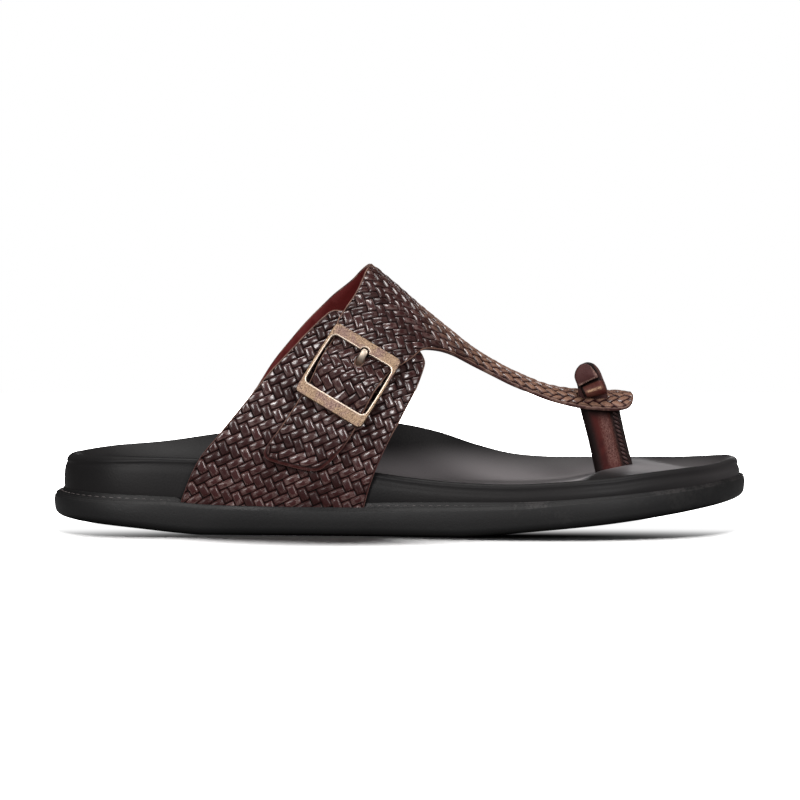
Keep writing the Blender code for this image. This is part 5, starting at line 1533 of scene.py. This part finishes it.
def wovenLook():
    look, tree, shader, at = newLook("wovenLeather")
    finish = wovenFinish
    crest, shade, upward, rim = (attribute(tree, name) for name in ("crest", "shade", "upward", "rim"))
    x, _, z = addNode(tree, "SeparateXYZ", {0: at}).outputs[:]
    strip, (long, fine) = attribute(tree, "strip", "Vector"), finish["streaks"]
    streaks = useGroup(tree, stripGrain, {"Strip": strip, "Long": long, "Fine": fine})
    streak, grain = streaks["Streak"], grained(tree, at, finish)
    low = remap(tree, z, *finish["lowRed"])
    patches = remap(tree, grain["Tone"], *finish["redPatches"])
    redness = reckon(tree, "ADD", product(tree, low, finish["lowShare"]), patches, clamp=True)
    tone = blendColors(tree, redness, finish["body"], finish["red"])
    lightness = remap(tree, shade, 0.0, 1.0, *finish["floatTone"], "LINEAR")
    tone = blendColors(tree, 1.0, tone, lightness, "MULTIPLY")
    # rubbed wear with a painted highlight round the crests' edges, more on some floats than on others
    ring = product(tree, remap(tree, crest, *finish["wearHighlightUp"]), remap(tree, crest, *finish["wearHighlightDown"]))
    some = remap(tree, shade, *finish["wearHighlightFloats"], *finish["floatWearHighlight"])
    tone = blendColors(tree, product(tree, worn(tree, at, ring, finish), some, streak), tone, finish["worn"])
    # the painted sheen, tan on what faces up, lies all over the strap, but only along the ridge of the instep
    ahead = remap(tree, x, *finish["sheenAhead"])
    sheenFilm = useGroup(tree, paintedSheenFilm, {
        "Vector": at, "Upward": upward, "Scale": finish["sheenScale"],
        "Start": remap(tree, ahead, 0.0, 1.0, *finish["sheenStart"], "LINEAR"),
        "Full": remap(tree, ahead, 0.0, 1.0, *finish["sheenFull"], "LINEAR"),
    })["Sheen"]
    onTop, streaky = remap(tree, crest, *finish["sheenCrest"]), remap(tree, streak, *finish["sheenStreak"])
    sheenShare = product(tree, sheenFilm, onTop, streaky)
    tone = blendColors(tree, sheenShare, tone, finish["tan"])
    # painted shade in the grooves, wider where the painted sheen lies, and the cut edge
    filled, ends = finish["sheenWidensShade"], (finish["grooveShadeFrom"], finish["grooveShadeTo"])
    start, full = (remap(tree, sheenShare, *filled, *values) for values in ends)
    tone = blendColors(tree, remap(tree, crest, start, full), finish["grooveShade"], tone)
    edge = blendColors(tree, remap(tree, z, *finish["palerFrom"]), finish["rimPaint"], finish["rimPale"])
    tone = blendColors(tree, remap(tree, rim, *finish["edgeLine"]), tone, finish["rimDark"])
    tone = blendColors(tree, remap(tree, rim, *finish["edgeFace"]), tone, edge)
    rough = remap(tree, crest, 0.0, 0.25, *finish["rough"])
    rough = reckon(tree, "ADD", rough, remap(tree, streak, 0.0, 1.0, *finish["roughStreak"], "LINEAR"))
    rough = reckon(tree, "ADD", rough, product(tree, low, finish["roughLow"]))
    rough = reckon(tree, "ADD", rough, product(tree, sheenShare, finish["roughSheen"]), clamp=True)
    # the polish lies on the floats only, thinner where the painted sheen lies
    polish = product(
        tree, remap(tree, crest, *finish["polishCrest"]), remap(tree, sheenShare, *finish["polishSheen"]),
        remap(tree, rim, *finish["polishRim"]), remap(tree, shade, 0.0, 1.0, *finish["floatPolish"], "LINEAR"),
        remap(tree, streak, *finish["polishStreak"]), remap(tree, z, *finish["polishHeight"]),
    )
    plug(tree, shader, {
        "Coat Weight": polish, "Coat Roughness": finish["coatRough"], "Coat IOR": finish["coatBend"],
    })
    first = bumped(tree, shader, streaks["Height"], *finish["streakBump"])
    dress(tree, shader, finish, tone, rough, grain["Height"], first)
    return look


edgeFinish = {
    "paint": (0.050, 0.016, 0.013), "pale": (0.185, 0.105, 0.080), "rough": (0.50, 0.68), "gloss": 0.5,
    "grain": (2200.0, 160.0), "bump": (0.00008, 0.7), "wear": (0.5, 500.0),
    "palerFrom": (0.030, 0.060), "paler": (0.15, 0.75),
}


def edgeLook():
    look, tree, shader, at = newLook("paintedEdge")
    grain = grained(tree, at, edgeFinish)
    high = remap(tree, addNode(tree, "SeparateXYZ", {0: at}).outputs[2], *edgeFinish["palerFrom"])
    lit = worn(tree, at, remap(tree, grain["Tone"], 0.25, 0.75), edgeFinish)
    share = product(tree, lit, remap(tree, high, 0.0, 1.0, *edgeFinish["paler"]))
    tone = blendColors(tree, share, edgeFinish["paint"], edgeFinish["pale"])
    rough = remap(tree, grain["Tone"], 0.2, 0.8, *edgeFinish["rough"])
    dress(tree, shader, edgeFinish, tone, rough, grain["Height"])
    return look


liningFinish = {
    "body": (0.104, 0.0072, 0.0066), "dark": (0.082, 0.0058, 0.0054), "rough": (0.60, 0.72), "gloss": 0.22,
    "grain": (1500.0, 60.0), "bump": (0.00010, 0.6),
}


def liningLook():
    look, tree, shader, at = newLook("burgundyLining")
    grain = grained(tree, at, liningFinish)
    patches = remap(tree, grain["Tone"], 0.30, 0.70)
    tone = blendColors(tree, patches, liningFinish["dark"], liningFinish["body"])
    rough = remap(tree, grain["Height"], -0.4, 0.4, *liningFinish["rough"])
    dress(tree, shader, liningFinish, tone, rough, grain["Height"])
    return look


rubberFinish = {
    "body": (0.0098, 0.0097, 0.0100), "worn": (0.019, 0.0185, 0.0185), "rough": (0.42, 0.56), "gloss": 0.18,
    "grain": (2400.0, 24.0), "bump": (0.00007, 0.8), "wear": (0.35, 700.0), "wornShare": 0.5,
}
# a darker copy of the rubber for the rim and the top of the lip: painted shade, with lighter scuffs
shadedRimFinish = rubberFinish | {
    "body": (0.0045, 0.0043, 0.0045), "worn": (0.034, 0.031, 0.031), "rough": (0.42, 0.62), "gloss": 0.26,
}


def rubberLook(name, finish):
    look, tree, shader, at = newLook(name)
    grain = grained(tree, at, finish)
    scuffs = worn(tree, at, remap(tree, grain["Tone"], 0.45, 0.75), finish)
    tone = blendColors(tree, product(tree, scuffs, finish["wornShare"]), finish["body"], finish["worn"])
    rough = remap(tree, grain["Tone"], 0.25, 0.75, *finish["rough"])
    dress(tree, shader, finish, tone, rough, grain["Height"])
    return look


treadFinish = {
    "body": (0.010, 0.010, 0.010), "sheenShare": (0.030, 0.028, 0.026), "rough": (0.85, 0.55), "gloss": 0.5,
    "grain": (2000.0, 30.0), "bump": (0.00008, 0.8),
    # bars across the sole: pitch, depth, and how fast and how far they wave, in metres
    "pitch": 0.0052, "depth": 0.0006, "waves": 420.0, "wave": 0.0013,
}


def treadLook():
    # bars across the sole, with dust between them
    look, tree, shader, at = newLook("treadRubber")
    grain = grained(tree, at, treadFinish)
    x, y, _ = addNode(tree, "SeparateXYZ", {0: at}).outputs[:]
    wave = product(tree, reckon(tree, "SINE", product(tree, y, treadFinish["waves"])), treadFinish["wave"])
    turn = product(tree, reckon(tree, "ADD", x, wave), 2 * math.pi / treadFinish["pitch"])
    bars = remap(tree, reckon(tree, "SINE", turn), -0.45, 0.05)
    tone = blendColors(tree, product(tree, bars, grain["Tone"]), treadFinish["sheenShare"], treadFinish["body"])
    first = bumped(tree, shader, bars, treadFinish["depth"], 1.0)
    rough = remap(tree, bars, 0.0, 1.0, *treadFinish["rough"])
    dress(tree, shader, treadFinish, tone, rough, grain["Height"], first)
    return look


bedFinish = {
    "body": (0.0074, 0.0071, 0.0074), "pale": (0.0105, 0.0098, 0.0100), "rough": (0.40, 0.52), "gloss": 0.11,
    "grain": (1500.0, 22.0), "bump": (0.00008, 0.55),
    # colour, centre, half sizes and soft edge of the pale patch over the ball of the foot, a painted sheen
    "worn": (0.180, 0.167, 0.171), "bedSheenCentre": (0.058, 0.008, 0.0200), "bedSheenSize": (0.085, 0.045, 0.0135),
    "bedSheenSoft": (1.25, 0.2),
}


def bedLook():
    look, tree, shader, at = newLook("footbedLeather")
    grain = grained(tree, at, bedFinish)
    tone = blendColors(tree, remap(tree, grain["Tone"], 0.30, 0.75), bedFinish["body"], bedFinish["pale"])
    # a pale patch over the ball of the foot: painted sheen
    near = remap(tree, awayFrom(tree, at, bedFinish["bedSheenCentre"], bedFinish["bedSheenSize"]), *bedFinish["bedSheenSoft"])
    tone = blendColors(tree, near, tone, bedFinish["worn"])
    rough = remap(tree, grain["Tone"], 0.25, 0.75, *bedFinish["rough"])
    dress(tree, shader, bedFinish, tone, rough, grain["Height"])
    return look


brassFinish = {
    "body": (0.250, 0.172, 0.112), "rose": (0.205, 0.132, 0.116), "pale": (0.43, 0.32, 0.23),
    "pit": (0.050, 0.028, 0.028), "rubbedHighlight": (0.66, 0.55, 0.45), "rough": (0.46, 0.60), "rubbedHighlightRough": 0.38,
    "gloss": 0.5, "patches": 130.0, "speckles": 2300.0, "wear": (0.85, 600.0),
    "castBump": (0.00010, 0.8), "rubbedHighlightBump": (0.00010, 0.35),
}


def brassLook(name, rubbedHighlight=False, share=1.0):
    # cast brass, or rubbed bright with a painted highlight, and how much of its colour is left
    look, tree, shader, at = newLook(name)
    patches = noise(tree, at, brassFinish["patches"], 3.0, 0.6)
    speckle = noise(tree, at, brassFinish["speckles"], 2.0, 0.7)
    tone = blendColors(tree, remap(tree, patches, 0.48, 0.66), brassFinish["body"], brassFinish["rose"])
    tone = blendColors(tree, remap(tree, speckle, 0.52, 0.66, 0.0, 0.85), tone, brassFinish["pale"])
    tone = blendColors(tree, remap(tree, speckle, 0.47, 0.36, 0.0, 0.95), tone, brassFinish["pit"])
    rough = remap(tree, patches, 0.3, 0.7, *brassFinish["rough"])
    if rubbedHighlight:
        tone = blendColors(tree, worn(tree, at, 1.0, brassFinish), tone, brassFinish["rubbedHighlight"])
        rough = product(tree, rough, brassFinish["rubbedHighlightRough"] / brassFinish["rough"][0])
    if share < 1:
        tone = blendColors(tree, 1.0, tone, (share,) * 3, "MULTIPLY")
    plug(tree, shader, {"Metallic": 1.0})
    finish = brassFinish | {"bump": brassFinish["rubbedHighlightBump" if rubbedHighlight else "castBump"]}
    dress(tree, shader, finish, tone, rough, speckle)
    return look


# plain burnished leather of the post, the strip above it and the roll, with painted shade on all three and a
# painted highlight on the roll
postFinish = {
    "body": (0.032, 0.0034, 0.0030), "warm": (0.052, 0.0070, 0.0054), "rubbed": (0.140, 0.066, 0.055),
    "paintedShade": (0.0056, 0.0024, 0.0022), "rough": (0.48, 0.62), "gloss": 0.13,
    "grain": (2100.0, 170.0), "bump": (0.00008, 0.6),
    "scratches": (2300.0, 1300.0, 1500.0), "scratchBump": (0.00012, 0.6),
}
knotFinish = postFinish | {
    "body": (0.043, 0.0150, 0.0142), "warm": (0.053, 0.0180, 0.0168), "rubbed": (0.240, 0.148, 0.122),
}
# on the roll the rubbed colour is its painted highlight streak
rollFinish = postFinish | {
    "body": (0.048, 0.0085, 0.0072), "warm": (0.074, 0.0250, 0.0175), "rubbed": (0.460, 0.290, 0.185),
}


def burnishedLook(name, finish):
    # painted shade, near black, where the edge attribute is high, and rubbed pale where the pale one is, which
    # on the roll is a painted highlight
    look, tree, shader, at = newLook(name)
    edge, pale, grain = attribute(tree, "edge"), attribute(tree, "pale"), grained(tree, at, finish)
    scratches = noise(tree, stretched(tree, at, finish["scratches"]), 1.0, 3.0, 0.65, 1.4)
    tone = blendColors(tree, remap(tree, grain["Tone"], 0.35, 0.65), finish["body"], finish["warm"])
    patchy = product(tree, reckon(tree, "SUBTRACT", grain["Tone"], 0.5), 0.5)
    # painted shade where the edge attribute is high
    dark = remap(tree, reckon(tree, "ADD", edge, patchy), 0.10, 0.92)
    tone = blendColors(tree, dark, tone, finish["paintedShade"])
    light = product(tree, remap(tree, scratches, 0.42, 0.60, 0.12, 1.0), pale)
    tone = blendColors(tree, light, tone, finish["rubbed"])
    first = bumped(tree, shader, scratches, *finish["scratchBump"])
    rough = remap(tree, scratches, 0.3, 0.7, *finish["rough"])
    dress(tree, shader, finish, tone, rough, grain["Height"], first)
    return look


threadFinish = {
    "twist": 5200.0, "rough": (0.28, 0.45), "gloss": 0.5, "bump": (0.0001, 0.7),
    "black": ((0.006, 0.004, 0.004), (0.120, 0.100, 0.098)),
    "red": ((0.010, 0.0035, 0.0035), (0.062, 0.018, 0.016)),
}


def threadLook(name, colour):
    look, tree, shader, at = newLook(name)
    twist = noise(tree, at, threadFinish["twist"], 2.0)
    tone = blendColors(tree, remap(tree, twist, 0.35, 0.65), *threadFinish[colour])
    dress(tree, shader, threadFinish, tone, remap(tree, twist, 0.3, 0.7, *threadFinish["rough"]), twist)
    return look


upperLooks = [wovenLook(), edgeLook(), liningLook()]
buckleLooks = [brassLook("antiqueBrass"), brassLook("rubbedHighlightBrass", True), brassLook("shadedBrass", share=0.12)]
print("finishes made")

makeOutsole(rubberLook("blackRubber", rubberFinish), treadLook(), rubberLook("shadedRimRubber", shadedRimFinish))
makeRimStitches(threadLook("blackThread", "black"))
makeFootbed(bedLook())
print("sole and footbed made")
makeQuarter(upperLooks)
makeMain(upperLooks)
print("woven pieces made")
makeBuckle(buckleLooks)
# the prong is brass rubbed bright with a painted highlight all over, its colour kept to 72%
makeProng(brassLook("prongBrass", True, 0.72))
makePost(burnishedLook("postLeather", postFinish), threadLook("redThread", "red"))
makeKnot(burnishedLook("knotLeather", knotFinish))
makeRoll(burnishedLook("rollLeather", rollFinish))
print("buckle, post and knot made")
